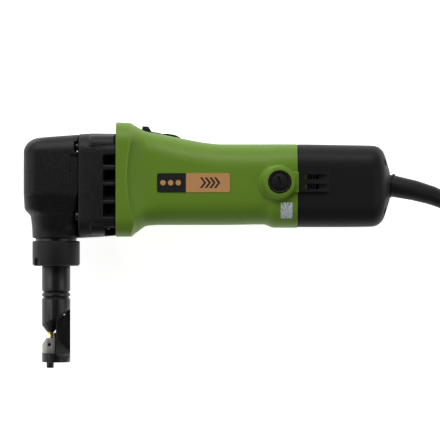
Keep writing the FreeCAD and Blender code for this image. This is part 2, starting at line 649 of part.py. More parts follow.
def brushes():
    at = S["brush_at"]

    def holder(side):
        return carved(block((at - 5.0, at + 5.0), (-4.6, 4.6), reach(side, 14.5, 29.0)),
                      block((at - 3.2, at + 3.2), (-2.7, 2.7), reach(side, 13.5, 30.0)))

    def brush(side):
        return block((at - 3.1, at + 3.1), (-2.6, 2.6), reach(side, 11.6, 22.0))

    def spring(side):
        return carved(rod("z", *reach(side, 22.0, 28.9), at, 0, 2.4),
                      rod("z", *reach(side, 21.0, 30.0), at, 0, 1.7))

    pair("brush_holders", holder)
    pair("brushes", brush)
    pair("brush_springs", spring)
    face = S["flange_wide"]
    for name, side in (("brush_cap_left", -1), ("brush_cap_right", 1)):
        disc = rod("z", *reach(side, 29.1, face), at, 0, S["cap_radius"])
        step = carved(rod("z", *reach(side, face - 1.0, face + 1), at, 0, 10), rod("z", -40, 40, at, 0, 6.4))
        slot = block((at - 3.9, at + 3.9), (-0.8, 0.8), reach(side, face - 2.6, face + 1))
        place(named(carved(disc, step, slot), name))


def switch():
    body = new_body("switch_knob")
    sketch = new_sketch(body)
    gap = 0.25
    polygon(sketch, [(-50.6, track_height(-50.6) + gap), (-20.4, track_height(-20.4) + gap),
                     (-20.4, track_height(-20.4) + 1.6), (-24.0, track_height(-24.0) + 3.0),
                     (-30.0, track_height(-30.0) + 3.0), (-34.0, track_height(-34.0) + 2.0),
                     (-43.0, track_height(-43.0) + 2.0), (-45.4, track_height(-45.4) + 5.4),
                     (-50.0, track_height(-50.0) + 4.8)])
    extrude(body, sketch, 15.6)
    tongue = new_sketch(body)
    polygon(tongue, [(-38.0, 26.4), (-34.0, 26.4), (-34.0, track_height(-34.0) + 1),
                     (-38.0, track_height(-38.0) + 1)])
    extrude(body, tongue, 3.0)
    place(body)
    strip = carved(block((-42.0, 96.0), (26.0, 27.8), (-4.0, 4.0)),
                   block((-38.4, -33.6), (20, 30), (-1.9, 1.9)))
    place(named(strip, "switch_rod"))
    frame = fused(block((98.0, 118.0), (10.0, 25.6), (-9.0, 9.0)),
                  block((94.0, 100.0), (22.0, 25.6), (-4.0, 4.0)))
    place(named(frame, "switch_body"))
    place(named(rod("x", 84.0, 108.0, -4.0, 16.0, 6.5), "capacitor"))
    place(named(block((98.0, 116.0), (-8.0, 2.0), (-22.0, -8.0)), "terminal_block"))


def fasteners():
    def screw(start, head, stop, y, z, radius, wide):
        """A pan-head screw along X, head towards the front."""
        body = fused(rod("x", start, start + head, y, z, wide), rod("x", start + head, stop, y, z, radius))
        return carved(body, rod("x", start - 1, start + 1.4, y, z, wide * 0.4))

    seam, back = S["head_seam"], S["case_seam"]
    place(named(fused(*[screw(seam - 2.3, 2.3, seam + 9.0, y, z, 1.9, 3.3) for y, z in HEAD_SCREWS]),
                "head_screws"))
    place(named(fused(*[screw(back - 7.0, 2.4, back + 9.0, y, z, 1.9, 3.3) for y, z in CASE_SCREWS]),
                "case_screws"))
    covers = [rod("x", 128.5, 131.0, y, z, 3.2) for y, z in COVER_SCREWS]
    shanks = [rod("x", 66.2, 128.5, y, z, 1.9) for y, z in COVER_SCREWS]
    slots = [rod("x", 129.6, 132.0, y, z, 1.3) for y, z in COVER_SCREWS]
    place(named(carved(fused(*covers, *shanks), *slots), "rear_cover_screws"))


def trim():
    wide = S["handle_wide"]
    place(named(block((-36.0, 17.6), (-7.1, 7.1), (wide + 0.02, wide + 0.5)), "label_plate"))
    place(named(block((55.6, 64.4), (-26.9, -14.8), (wide + 1.85, wide + 2.1)), "foil_sticker"))


# Cord, bend guard and plug.

CORD_ROUTE = [(121.5, 49.7, 36.5), (158, 44.2, 36), (186, 35, 33), (210, 20, 23.5), (228, 2, 13),
              (237.5, -19, 6), (239, -38, 5)]
LEAD_ROUTE = [(341, -40, 20), (342.5, -22, 17), (341, -2, 10), (341, 9, 8.7)]
COIL_AT = Vector(290, -40, 0)
CLAMP_SCREWS = (41.6, 57.6)
COIL_MIDDLE, COIL_LOW, TURN_RINGS = 43.5, 1.2, 3


def bent_path(points):
    """Straight runs joined by tangent arcs, each as large as its two runs allow."""
    spots = [Vector(*point) for point in points]
    edges, start, radii = [], spots[0], []
    for before, corner, after in zip(spots, spots[1:], spots[2:]):
        into, out = (corner - before), (after - corner)
        shorter = min(into.Length, out.Length)
        into.normalize()
        out.normalize()
        half = into.getAngle(out) / 2
        radii.append(0.45 * shorter / math.tan(half))
        first, last = corner - into * 0.45 * shorter, corner + out * 0.45 * shorter
        sag = (radii[-1] / math.cos(half)) - radii[-1]
        toward = (first + last) * 0.5 - corner
        toward.normalize()
        edges.append(Part.LineSegment(start, first).toShape())
        edges.append(Part.Arc(first, corner + toward * sag, last).toShape())
        start = last
    edges.append(Part.LineSegment(start, spots[-1]).toShape())
    print("arc radii:", [round(radius, 1) for radius in radii])
    return Part.Wire(edges)


def tube_along(points, radius):
    path = bent_path(points)
    along = Vector(*points[1]) - Vector(*points[0])
    profile = Part.Wire([Part.makeCircle(radius, Vector(*points[0]), along)])
    solid = path.makePipeShell([profile], True, False)
    error = solid.Volume / (math.pi * radius ** 2 * path.Length) - 1
    print("cord run %.1f mm, volume error %.4f" % (path.Length, error))
    if abs(error) > 0.01:
        raise RuntimeError("cord sweep is not its section times its length")
    return solid


def guard_shape():
    """Tapered bend guard that follows the cord's first stretch, with the collar that the cover holds."""
    across = [16.6, 15.5, 14.3, 13.0, 12.2]
    centre = [Vector(138.0, 47.2, 36.5), Vector(143.0, 46.45, 36.5), Vector(158.0, 43.9, 36.0),
              Vector(172.0, 39.6, 34.9), Vector(186.0, 34.2, 32.3), Vector(197.5, 27.8, 28.6)]
    wires = []
    for diameter, before, spot, after in zip(across, centre, centre[1:], centre[2:] + centre[-1:]):
        wires.append(Part.Wire([Part.makeCircle(diameter / 2, spot, after - before)]))
    outer = Part.makeLoft(wires, True, False)
    collar_disc = Part.makeCylinder(10.2, 3.0, Vector(132.0, 46.75, 36.5), Vector(1, 0, 0))
    stem = Part.makeCylinder(8.3, 11.5, Vector(132.0, 46.75, 36.5), Vector(1, 0, 0))
    return outer.fuse([collar_disc, stem])


def absolute(name, shape):
    """A sub-part already drawn in the part's own frame."""
    feature = doc.addObject("Part::Feature", name)
    feature.Label = name
    feature.Shape = shape
    OUTPUT.append(feature)
    return feature


def cord():
    radius = S["cord_radius"].value
    channel = tube_along(CORD_ROUTE, radius + 0.05)
    absolute("power_cord", tube_along(CORD_ROUTE, radius))
    absolute("cord_guard", guard_shape().cut(channel))
    absolute("plug_lead", tube_along(LEAD_ROUTE, radius))
    half = TURN_RINGS * radius
    high = COIL_LOW + 2 * half
    inner, outer = COIL_MIDDLE - half, COIL_MIDDLE + half
    coil = Part.makeCylinder(outer, 2 * half, COIL_AT + Vector(0, 0, COIL_LOW))
    coil = coil.cut(Part.makeCylinder(inner, 2 * half, COIL_AT + Vector(0, 0, COIL_LOW)))
    absolute("cord_coil", coil)
    tie_at = COIL_AT - Vector(0, COIL_MIDDLE, 0)
    clear = 2 * half + 0.2
    band = Part.makeBox(5.0, clear + 2.2, high + 1.1, tie_at - Vector(2.5, half + 1.2, 0))
    hole = Part.makeBox(5.0, clear, clear, tie_at + Vector(-2.5, -half - 0.1, COIL_LOW - 0.1))
    absolute("cord_tie", band.cut(hole))
    clamp = Part.makeBox(9.0, 22.0, 5.0, Vector(122.0, 38.5, 40.6))
    for y in CLAMP_SCREWS:
        clamp = clamp.cut(Part.makeCylinder(1.6, 9.0, Vector(126.5, y, 38.6)))
    absolute("cord_clamp", clamp)
    screws = [Part.makeCylinder(1.6, 9.0, Vector(126.5, y, 36.6)).fuse(
        Part.makeCylinder(3.0, 2.0, Vector(126.5, y, 45.6))) for y in CLAMP_SCREWS]
    absolute("cord_clamp_screws", Part.makeCompound(screws))


def plug():
    x, y, _ = LEAD_ROUTE[-1]
    tail = [(y, 5.2, 5.2), (y + 12, 6.4, 6.2), (y + 20, 12.0, 7.6), (y + 26, 17.6, 8.5), (y + 44, 17.6, 8.5)]
    wires = []
    for at, wide, tall in tail:
        ellipse = Part.Ellipse(Vector(x, at, 8.6), wide, tall)
        if wide == tall:
            ellipse = Part.Circle(Vector(x, at, 8.6), Vector(0, 0, 1), wide)
        edge = ellipse.toShape()
        edge.rotate(Vector(x, at, 8.6), Vector(1, 0, 0), 90)
        wires.append(Part.Wire([edge]))
    body = Part.makeLoft(wires, True, True)
    absolute("plug_body", body)
    pins = [Part.makeCylinder(2.4, 19.0, Vector(x + side * 9.5, y + 44, 8.6), Vector(0, 1, 0))
            for side in (-1, 1)]
    absolute("plug_pins", Part.makeCompound(pins))


def build():
    motor_housing()
    rear_cover()
    gear_case()
    gear_head()
    rotor()
    crank()
    ram()
    die_head()
    collar()
    brushes()
    switch()
    fasteners()
    trim()
    cord()
    plug()
    doc.recompute()


def check_and_export():
    for obj in doc.Objects:
        if "Invalid" in obj.State or "Error" in obj.State:
            raise RuntimeError("%s failed: %s" % (obj.Label, obj.State))
    for obj in OUTPUT:
        if obj.Shape.isNull() or not obj.Shape.isValid():
            raise RuntimeError(obj.Label + " has no valid shape")
    for obj in OUTPUT:
        obj.Shape.exportStep("parts/%s.step" % obj.Label)
        print("%-20s %3d solid %9.0f mm3" % (obj.Label, len(obj.Shape.Solids), obj.Shape.Volume))


build()
check_and_export()
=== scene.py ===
import json
import math

import bmesh
import bpy
from mathutils import Matrix, Vector

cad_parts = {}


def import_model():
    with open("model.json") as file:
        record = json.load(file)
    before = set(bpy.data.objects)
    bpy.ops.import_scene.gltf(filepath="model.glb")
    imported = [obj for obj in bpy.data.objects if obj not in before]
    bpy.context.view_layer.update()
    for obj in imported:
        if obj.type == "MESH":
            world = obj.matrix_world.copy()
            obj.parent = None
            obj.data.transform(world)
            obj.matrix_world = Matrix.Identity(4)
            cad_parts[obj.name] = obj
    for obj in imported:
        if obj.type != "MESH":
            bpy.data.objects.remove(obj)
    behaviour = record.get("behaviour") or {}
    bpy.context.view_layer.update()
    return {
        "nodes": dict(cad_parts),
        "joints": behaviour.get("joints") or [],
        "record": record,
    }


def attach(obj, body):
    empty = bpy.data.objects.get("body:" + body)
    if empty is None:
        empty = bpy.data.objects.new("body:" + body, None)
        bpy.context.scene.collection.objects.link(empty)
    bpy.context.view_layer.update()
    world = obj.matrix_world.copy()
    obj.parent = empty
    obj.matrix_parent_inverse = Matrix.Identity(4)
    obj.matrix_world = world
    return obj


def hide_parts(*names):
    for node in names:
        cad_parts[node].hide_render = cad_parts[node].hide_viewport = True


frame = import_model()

# A nibbler lying on its side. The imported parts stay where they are.
# Shells, cord and trim are built round them.
mm = 0.001
nodes = frame["nodes"]
joints = {joint["name"]: joint for joint in frame["joints"]}
motorAxis = Vector(joints["rotor_spin"]["pos_m"]) / mm
tubeX = joints["die_swivel"]["pos_m"][0] / mm
bodyOfNode = {node: body for body, members in frame["record"]["behaviour"]["bodies"].items()
              for node in members}
slotOfNode = {part["node"]: part["material_slot"] for part in frame["record"]["subparts"]}


def world(x, y, z):
    # script lengths are millimetres from the motor axis
    return Vector((x, y + motorAxis.y, z + motorAxis.z)) * mm


def addObject(name, mesh):
    obj = bpy.data.objects.new(name, mesh)
    bpy.context.scene.collection.objects.link(obj)
    return obj


def smoothByAngle(mesh, angle=38):
    mesh.shade_smooth()
    mesh.set_sharp_from_angle(angle=math.radians(angle))


def meshPiece(name, points, faces, angle=38):
    mesh = bpy.data.meshes.new(name)
    mesh.from_pydata([tuple(point) for point in points], [], faces)
    bm = bmesh.new()
    bm.from_mesh(mesh)
    bmesh.ops.remove_doubles(bm, verts=bm.verts, dist=0.002 * mm)
    bmesh.ops.recalc_face_normals(bm, faces=bm.faces)
    bm.to_mesh(mesh)
    bm.free()
    smoothByAngle(mesh, angle)
    return addObject(name, mesh)


def bake(obj):
    # makes the evaluated shape a plain mesh and drops the modifiers
    graph = bpy.context.evaluated_depsgraph_get()
    mesh = bpy.data.meshes.new_from_object(obj.evaluated_get(graph))
    obj.modifiers.clear()
    obj.data = mesh
    return obj


def depths(side, near, far):
    # a stretch of depth on the near or the far side, lowest first
    return sorted((near * side, far * side))


def joinShapes(obj, operation, *others, solver="EXACT"):
    for other in others:
        mod = obj.modifiers.new("join", "BOOLEAN")
        mod.operation = operation
        mod.solver = solver
        mod.object = other
        bake(obj)
        bpy.data.objects.remove(other)
    return obj


def cutAway(obj, *tools, solver="EXACT"):
    return joinShapes(obj, "DIFFERENCE", *tools, solver=solver)


def addOn(obj, *parts, solver="EXACT"):
    return joinShapes(obj, "UNION", *parts, solver=solver)


def soften(obj, voxel, rounds, keep, angle=50):
    # a fine remesh and some smoothing give every edge the small radius of a casting or moulding
    remesh = obj.modifiers.new("remesh", "REMESH")
    remesh.mode = "VOXEL"
    remesh.voxel_size = voxel * mm
    smooth = obj.modifiers.new("smooth", "SMOOTH")
    smooth.factor, smooth.iterations = 0.5, rounds
    thin = obj.modifiers.new("thin", "DECIMATE")
    thin.ratio = keep
    bake(obj)
    smoothByAngle(obj.data, angle)
    return obj


def monotone(rows, spacing):
    # a smooth curve through a table of rows without overshoot, sampled along its first column
    slopes = []
    for column in range(1, len(rows[0])):
        secants = [(b[column] - a[column]) / (b[0] - a[0]) for a, b in zip(rows, rows[1:])]
        inner = [0 if p * q <= 0 else 2 * p * q / (p + q) for p, q in zip(secants, secants[1:])]
        slopes.append([secants[0]] + inner + [secants[-1]])
    out = []
    for i, (a, b) in enumerate(zip(rows, rows[1:])):
        span = b[0] - a[0]
        steps = max(1, round(abs(span) / spacing))
        for step in range(steps):
            t = step / steps
            row = [a[0] + span * t]
            for column in range(1, len(a)):
                m0, m1 = slopes[column - 1][i] * span, slopes[column - 1][i + 1] * span
                row.append((2 * t ** 3 - 3 * t ** 2 + 1) * a[column] + (t ** 3 - 2 * t ** 2 + t) * m0
                           + (3 * t ** 2 - 2 * t ** 3) * b[column] + (t ** 3 - t ** 2) * m1)
            out.append(row)
    out.append(list(rows[-1]))
    return out


def roundedRing(low, high, wide, lowRadius, highRadius, corner=9, side=7):
    # closed outline with round corners: u runs from low to high, v is plus and minus wide
    lowRadius, highRadius = min(lowRadius, wide - 0.01), min(highRadius, wide - 0.01)
    centres = [(high - highRadius, wide - highRadius, highRadius),
               (low + lowRadius, wide - lowRadius, lowRadius),
               (low + lowRadius, lowRadius - wide, lowRadius),
               (high - highRadius, highRadius - wide, highRadius)]
    arcs = []
    for quarter, (u, v, radius) in enumerate(centres):
        turns = [math.pi / 2 * (quarter + k / corner) for k in range(corner + 1)]
        arcs.append([(u + radius * math.cos(turn), v + radius * math.sin(turn)) for turn in turns])
    ring = []
    for index, points in enumerate(arcs):
        (u0, v0), (u1, v1) = points[-1], arcs[(index + 1) % 4][0]
        ring += points + [(u0 + (u1 - u0) * k / side, v0 + (v1 - v0) * k / side) for k in range(1, side)]
    return ring


def loftRings(name, rings, angle=38):
    points, faces, size = [], [], len(rings[0])
    for ring in rings:
        points += ring
    for r in range(len(rings) - 1):
        for k in range(size):
            a, b = r * size + k, r * size + (k + 1) % size
            faces.append((a, b, b + size, a + size))
    faces.append(tuple(range(size))[::-1])
    faces.append(tuple((len(rings) - 1) * size + k for k in range(size)))
    return meshPiece(name, points, faces, angle)


def loftAlongX(name, rows, spacing=1.2, bend=None, angle=38):
    # rows are (x, low, high, half width, corner radius); bend shifts a point along x
    rings = []
    for x, low, high, wide, radius in rows if spacing is None else monotone(rows, spacing):
        ring = roundedRing(low, high, wide, radius, radius)
        rings.append([world(x + (bend(x, u, v, wide) if bend else 0), u, v) for u, v in ring])
    return loftRings(name, rings, angle)


def blockPiece(name, low, high, bevel=0.0, segments=3):
    bm = bmesh.new()
    bmesh.ops.create_cube(bm, size=1)
    size = [(b - a) * mm for a, b in zip(low, high)]
    middle = world(*[(a + b) / 2 for a, b in zip(low, high)])
    bmesh.ops.transform(bm, matrix=Matrix.Translation(middle) @ Matrix.Diagonal((*size, 1)), verts=bm.verts)
    if bevel:
        bmesh.ops.bevel(bm, geom=bm.edges[:], offset=bevel * mm, segments=segments, affect="EDGES",
                        profile=0.5)
    mesh = bpy.data.meshes.new(name)
    bm.to_mesh(mesh)
    bm.free()
    smoothByAngle(mesh)
    return addObject(name, mesh)


def prismPiece(name, outline, start, stop, plane="xz", angle=38):
    # a flat outline given in two axes, run from start to stop along the third
    place = {"xz": lambda u, v, w: world(u, w, v), "xy": lambda u, v, w: world(u, v, w),
             "yz": lambda u, v, w: world(w, u, v)}[plane]
    count = len(outline)
    points = [place(u, v, start) for u, v in outline] + [place(u, v, stop) for u, v in outline]
    faces = [(k, (k + 1) % count, (k + 1) % count + count, k + count) for k in range(count)]
    faces += [tuple(range(count))[::-1], tuple(range(count, 2 * count))]
    return meshPiece(name, points, faces, angle)


axisTurn = {"x": Matrix.Rotation(math.pi / 2, 3, "Y"), "y": Matrix.Rotation(-math.pi / 2, 3, "X"),
            "z": Matrix.Identity(3)}


def turnedPiece(name, axis, centre, profile, count=96, angle=32):
    # profile is (along, radius) pairs, along measured on the axis from the centre
    points, rings = [], []
    turn, base = axisTurn[axis], world(*centre)
    for along, radius in profile:
        start = len(points)
        if radius <= 0:
            points.append(base + turn @ Vector((0, 0, along)) * mm)
            rings.append([start] * count)
            continue
        for k in range(count):
            a = 2 * math.pi * k / count
            points.append(base + turn @ Vector((radius * math.cos(a), radius * math.sin(a), along)) * mm)
        rings.append(list(range(start, start + count)))
    closed = profile[0][1] > 0 and profile[-1][1] > 0
    faces = []
    for one, two in list(zip(rings, rings[1:])) + ([(rings[-1], rings[0])] if closed else []):
        for k in range(count):
            face = list(dict.fromkeys((one[k], one[(k + 1) % count], two[(k + 1) % count], two[k])))
            if len(face) > 2:
                faces.append(tuple(face))
    return meshPiece(name, points, faces, angle)


def filleted(corners, step=4):
    # corners of (along, radius, fillet): a corner with a fillet becomes a short curve
    out = []
    for i, (a, r, fillet) in enumerate(corners):
        here = Vector((a, r))
        if not fillet:
            out.append((a, r))
            continue
        before, after = Vector(corners[i - 1][:2]), Vector(corners[(i + 1) % len(corners)][:2])
        into, away = (before - here).normalized(), (after - here).normalized()
        reach = fillet / math.tan(into.angle(away) / 2)
        p, q = here + into * reach, here + away * reach
        for k in range(step + 1):
            t = k / step
            point = p * (1 - t) ** 2 + here * 2 * t * (1 - t) + q * t ** 2
            out.append((point.x, point.y))
    return out


def finishedNode(name, bevel=0.25, angle=28, flat=1.0):
    # a copy of a part, its flat faces rejoined and its edges broken
    mesh = nodes[name].data.copy()
    bm = bmesh.new()
    bm.from_mesh(mesh)
    bmesh.ops.remove_doubles(bm, verts=bm.verts, dist=0.004 * mm)
    bmesh.ops.dissolve_limit(bm, angle_limit=math.radians(flat), verts=bm.verts, edges=bm.edges)
    bm.to_mesh(mesh)
    bm.free()
    obj = addObject(name + "_finished", mesh)
    if bevel:
        mod = obj.modifiers.new("edges", "BEVEL")
        mod.width = bevel * mm
        mod.segments = 2
        mod.limit_method = "ANGLE"
        mod.angle_limit = math.radians(angle)
        bake(obj)
    smoothByAngle(obj.data, 40)
    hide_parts(name)
    return obj


def settle(obj, node, finish):
    # the piece takes the given finish and rides on the body of the node that it stands for
    obj.data.materials.clear()
    obj.data.materials.append(finish)
    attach(obj, bodyOfNode[node])
    return obj


def standFor(obj, node, finish):
    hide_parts(node)
    return settle(obj, node, finish)


def turnAbout(obj, degrees, axis, centre):
    # turns a piece made round the motor axis and carries it to its centre
    for matrix in (Matrix.Translation(-motorAxis * mm), Matrix.Rotation(math.radians(degrees), 4, axis),
                   Matrix.Translation(world(*centre))):
        obj.data.transform(matrix)
    return obj


# camera straight above, with the tool's front to the left
camera = {"x": 10.0, "y": -27.9, "height": 3000.0, "frame": 341.0, "sensor": 36.0}
cameraData = bpy.data.cameras.new("topCamera")
cameraData.sensor_width = camera["sensor"]
cameraData.lens = camera["sensor"] * camera["height"] / camera["frame"]
cameraData.clip_start, cameraData.clip_end = 0.05, 20
cameraObject = bpy.data.objects.new("topCamera", cameraData)
cameraObject.location = world(camera["x"], camera["y"], camera["height"])
bpy.context.scene.collection.objects.link(cameraObject)
bpy.context.scene.camera = cameraObject

# mains lead: out of the bend guard, down to the bench, eight and a half turns of coil, then to the plug
lead = {"radius": 3.75, "coilCentre": (290, -40), "pointsPerTurn": 16, "rings": (51, 43.5, 36),
        "layers": (4.95, 12.45, 19.95), "exit": (0.1413, 0.0466, 0.0365)}
leadOut = [(121.5, 49.7, 36.5), (158, 44.2, 36), (186, 35, 33), (210, 20, 23.5), (228, 2, 13),
           (237.5, -19, 6)]
leadToPlug = [(342.5, -22, 17), (341, -2, 10), (341, 9, 8.7)]


def coilPoints():
    outer, middle, inner = lead["rings"]
    low, centre, high = lead["layers"]
    # (turns made, ring radius, height): the lead winds inwards, up, outwards, up and outwards again
    stages = [(0, outer, low), (0.85, outer, low), (1.15, middle, low), (1.85, middle, low),
              (2.15, inner, low),
              (2.8, inner, low), (3.1, inner, centre), (3.85, inner, centre), (4.15, middle, centre),
              (4.85, middle, centre), (5.15, outer, centre), (5.85, outer, centre), (6.35, middle, high),
              (7.1, middle, high), (7.45, outer, high), (8.5, outer, high)]
    step = 1 / lead["pointsPerTurn"]
    swell = 1 / math.cos(math.pi * step)  # the curve runs a little inside its points
    points = []
    for k in range(round(stages[-1][0] / step) + 1):
        t = k * step
        (t0, r0, z0), (t1, r1, z1) = next(pair for pair in zip(stages, stages[1:]) if t <= pair[1][0] + 1e-9)
        blend = (t - t0) / (t1 - t0)
        radius = (r0 + (r1 - r0) * blend) * swell
        turn = math.pi * (1 + 2 * t)
        x, y = lead["coilCentre"]
        points.append((x + radius * math.cos(turn), y + radius * math.sin(turn), z0 + (z1 - z0) * blend))
    return points


def leadCurve():
    curve = bpy.data.curves.new("mainsLead", "CURVE")
    curve.dimensions = "3D"
    spline = curve.splines.new("NURBS")
    points = leadOut + coilPoints() + leadToPlug
    spline.points.add(len(points) - 1)
    for point, place in zip(spline.points, points):
        point.co = (*(v * mm for v in place), 1)
    spline.order_u = 3
    spline.use_endpoint_u = True
    spline.resolution_u = 6
    curve.bevel_resolution = 5
    return curve


def centreline(curve):
    # the points of the lead's own line, and how far along it each one is
    bare = curve.copy()
    bare.bevel_depth = 0
    holder = bpy.data.objects.new("bareLine", bare)
    mesh = bpy.data.meshes.new_from_object(holder)
    line = [vertex.co.copy() for vertex in mesh.vertices]
    bpy.data.objects.remove(holder)
    along = [0.0]
    for a, b in zip(line, line[1:]):
        along.append(along[-1] + (b - a).length)
    return line, along


leadData = leadCurve()
leadLine, leadAlong = centreline(leadData)
leadData.bevel_depth = lead["radius"] * mm
leadData.use_fill_caps = True
mainsLead = bpy.data.objects.new("mainsLead", leadData)
bpy.context.scene.collection.objects.link(mainsLead)
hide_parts("power_cord", "cord_coil", "plug_lead")
print("lead: %.3f m in %d points" % (leadAlong[-1], len(leadLine)))


def lineAt(distance):
    # place and direction at a distance along the lead, in metres
    index = next(i for i, reached in enumerate(leadAlong) if reached >= distance or i == len(leadAlong) - 1)
    index = max(index, 1)
    a, b = leadLine[index - 1], leadLine[index]
    share = (distance - leadAlong[index - 1]) / (leadAlong[index] - leadAlong[index - 1])
    return a.lerp(b, share), (b - a).normalized()


def lineAtX(x):
    return next(leadAlong[i] for i, point in enumerate(leadLine) if point.x >= x * mm)


guard = {"start": 132.0, "end": 196.0, "rows": [(0, 10.2), (2.6, 10.2), (3.0, 9.9), (3.2, 8.3), (8.6, 8.3),
         (8.9, 9.4), (10.2, 9.5), (10.6, 9.1), (10.9, 8.35), (26, 7.85), (40, 7.2), (54, 6.5), (63.5, 6.1),
         (64.4, 5.8), (64.8, 5.2), (64.8, 3.8)], "sides": 48, "bore": 3.8}


def bendGuard():
    start = lineAtX(guard["start"])
    scale = (lineAtX(guard["end"]) - start) / (guard["rows"][-1][0] * mm)
    points, faces, sides = [], [], guard["sides"]
    rows = guard["rows"] + [(0, guard["bore"])]
    for distance, radius in rows:
        place, ahead = lineAt(start + distance * mm * scale)
        across = ahead.cross(Vector((0, 0, 1))).normalized()
        up = across.cross(ahead)
        for k in range(sides):
            turn = 2 * math.pi * k / sides
            points.append(place + (across * math.cos(turn) + up * math.sin(turn)) * radius * mm)
    for r in range(len(rows)):
        for k in range(sides):
            a, b = r * sides + k, r * sides + (k + 1) % sides
            c = ((r + 1) % len(rows)) * sides
            faces.append((a, b, c + (k + 1) % sides, c + k))
    return meshPiece("bendGuard", points, faces, 32)


# shader groups that several materials share
def newGroup(name, inputs, outputs):
    tree = bpy.data.node_groups.new(name, "ShaderNodeTree")
    for label, kind, value in inputs:
        socket = tree.interface.new_socket(label, in_out="INPUT", socket_type="NodeSocket" + kind)
        socket.default_value = value
    for label, kind in outputs:
        tree.interface.new_socket(label, in_out="OUTPUT", socket_type="NodeSocket" + kind)
    return tree, tree.nodes.new("NodeGroupInput").outputs, tree.nodes.new("NodeGroupOutput").inputs


def mathNode(tree, operation, a, b=None):
    node = tree.nodes.new("ShaderNodeMath")
    node.operation = operation
    for socket, value in zip(node.inputs, (a, b)):
        if hasattr(value, "is_output"):
            tree.links.new(value, socket)
        elif value is not None:
            socket.default_value = value
    return node.outputs[0]


def noiseNode(tree, scale, detail=3.0, stretch=None):
    # noise on the piece's own coordinates; scale is in waves per metre
    place = tree.nodes.new("ShaderNodeTexCoord").outputs["Object"]
    if stretch:
        mapping = tree.nodes.new("ShaderNodeMapping")
        mapping.inputs["Scale"].default_value = stretch
        tree.links.new(place, mapping.inputs["Vector"])
        place = mapping.outputs["Vector"]
    noise = tree.nodes.new("ShaderNodeTexNoise")
    noise.inputs["Detail"].default_value = detail
    tree.links.new(place, noise.inputs["Vector"])
    if hasattr(scale, "is_output"):
        tree.links.new(scale, noise.inputs["Scale"])
    else:
        noise.inputs["Scale"].default_value = scale
    return noise.outputs["Fac"]


def grainGroup():
    # fine random grain of a moulding or casting, with softer lumps under it
    tree, given, wanted = newGroup("surfaceGrain",
                                   [("Grain Scale", "Float", 2500.0), ("Lump Scale", "Float", 300.0),
                                                    ("Lump Share", "Float", 0.3)], [("Height", "Float")])
    fine = noiseNode(tree, given["Grain Scale"], 2.0)
    lumps = mathNode(tree, "MULTIPLY", noiseNode(tree, given["Lump Scale"], 4.0), given["Lump Share"])
    tree.links.new(mathNode(tree, "ADD", fine, lumps), wanted["Height"])
    return tree


def handledGroup():
    # slow drift of tone and gloss, as on anything moulded, oiled or held
    tree, given, wanted = newGroup("handledSurface", [
        ("Color", "Color", (0.5, 0.5, 0.5, 1)), ("Drift", "Float", 0.1), ("Roughness", "Float", 0.5),
        ("Smudge", "Float", 0.05), ("Scale", "Float", 40.0)], [("Color", "Color"), ("Roughness", "Float")])
    slow = mathNode(tree, "SUBTRACT", noiseNode(tree, given["Scale"], 3.0), 0.5)
    value = mathNode(tree, "ADD", mathNode(tree, "MULTIPLY", slow, given["Drift"]), 1.0)
    shade = tree.nodes.new("ShaderNodeHueSaturation")
    tree.links.new(given["Color"], shade.inputs["Color"])
    tree.links.new(value, shade.inputs["Value"])
    tree.links.new(shade.outputs["Color"], wanted["Color"])
    streaks = mathNode(tree, "SUBTRACT", noiseNode(tree, 130.0, 5.0, (1, 1, 0.4)), 0.5)
    smudge = mathNode(tree, "MULTIPLY", streaks, given["Smudge"])
    tree.links.new(mathNode(tree, "ADD", smudge, given["Roughness"]), wanted["Roughness"])
    return tree


def edgeGroup():
    # a mask that is 1 on edges, for rubbed wear and painted edge highlights: where a rounded normal leaves
    # the true one, broken up by noise
    tree, given, wanted = newGroup("edgeWearAndHighlightMask", [("Width", "Float", 0.0004), ("Amount", "Float", 1.0)],
                                   [("Mask", "Float")])
    rounded = tree.nodes.new("ShaderNodeBevel")
    rounded.samples = 4
    tree.links.new(given["Width"], rounded.inputs["Radius"])
    dot = tree.nodes.new("ShaderNodeVectorMath")
    dot.operation = "DOT_PRODUCT"
    tree.links.new(rounded.outputs["Normal"], dot.inputs[0])
    tree.links.new(tree.nodes.new("ShaderNodeNewGeometry").outputs["Normal"], dot.inputs[1])
    bent = mathNode(tree, "MULTIPLY", mathNode(tree, "SUBTRACT", 1.0, dot.outputs["Value"]), 4.0)
    broken = mathNode(tree, "MULTIPLY", bent, noiseNode(tree, 700.0, 4.0))
    level = tree.nodes.new("ShaderNodeClamp")
    tree.links.new(mathNode(tree, "MULTIPLY", broken, given["Amount"]), level.inputs["Value"])
    tree.links.new(level.outputs["Result"], wanted["Mask"])
    return tree


surfaceGrain, handledSurface, edgeWearAndHighlightMask = grainGroup(), handledGroup(), edgeGroup()


def useGroup(tree, group, **values):
    node = tree.nodes.new("ShaderNodeGroup")
    node.node_tree = group
    for label, value in values.items():
        node.inputs[label.replace("_", " ")].default_value = value
    return node


def mixColours(tree, mask, first, second):
    mix = tree.nodes.new("ShaderNodeMix")
    mix.data_type = "RGBA"
    tree.links.new(mask, mix.inputs["Factor"])
    for socket, value in ((mix.inputs[6], first), (mix.inputs[7], second)):
        if hasattr(value, "is_output"):
            tree.links.new(value, socket)
        else:
            socket.default_value = (*value, 1)
    return mix.outputs[2]


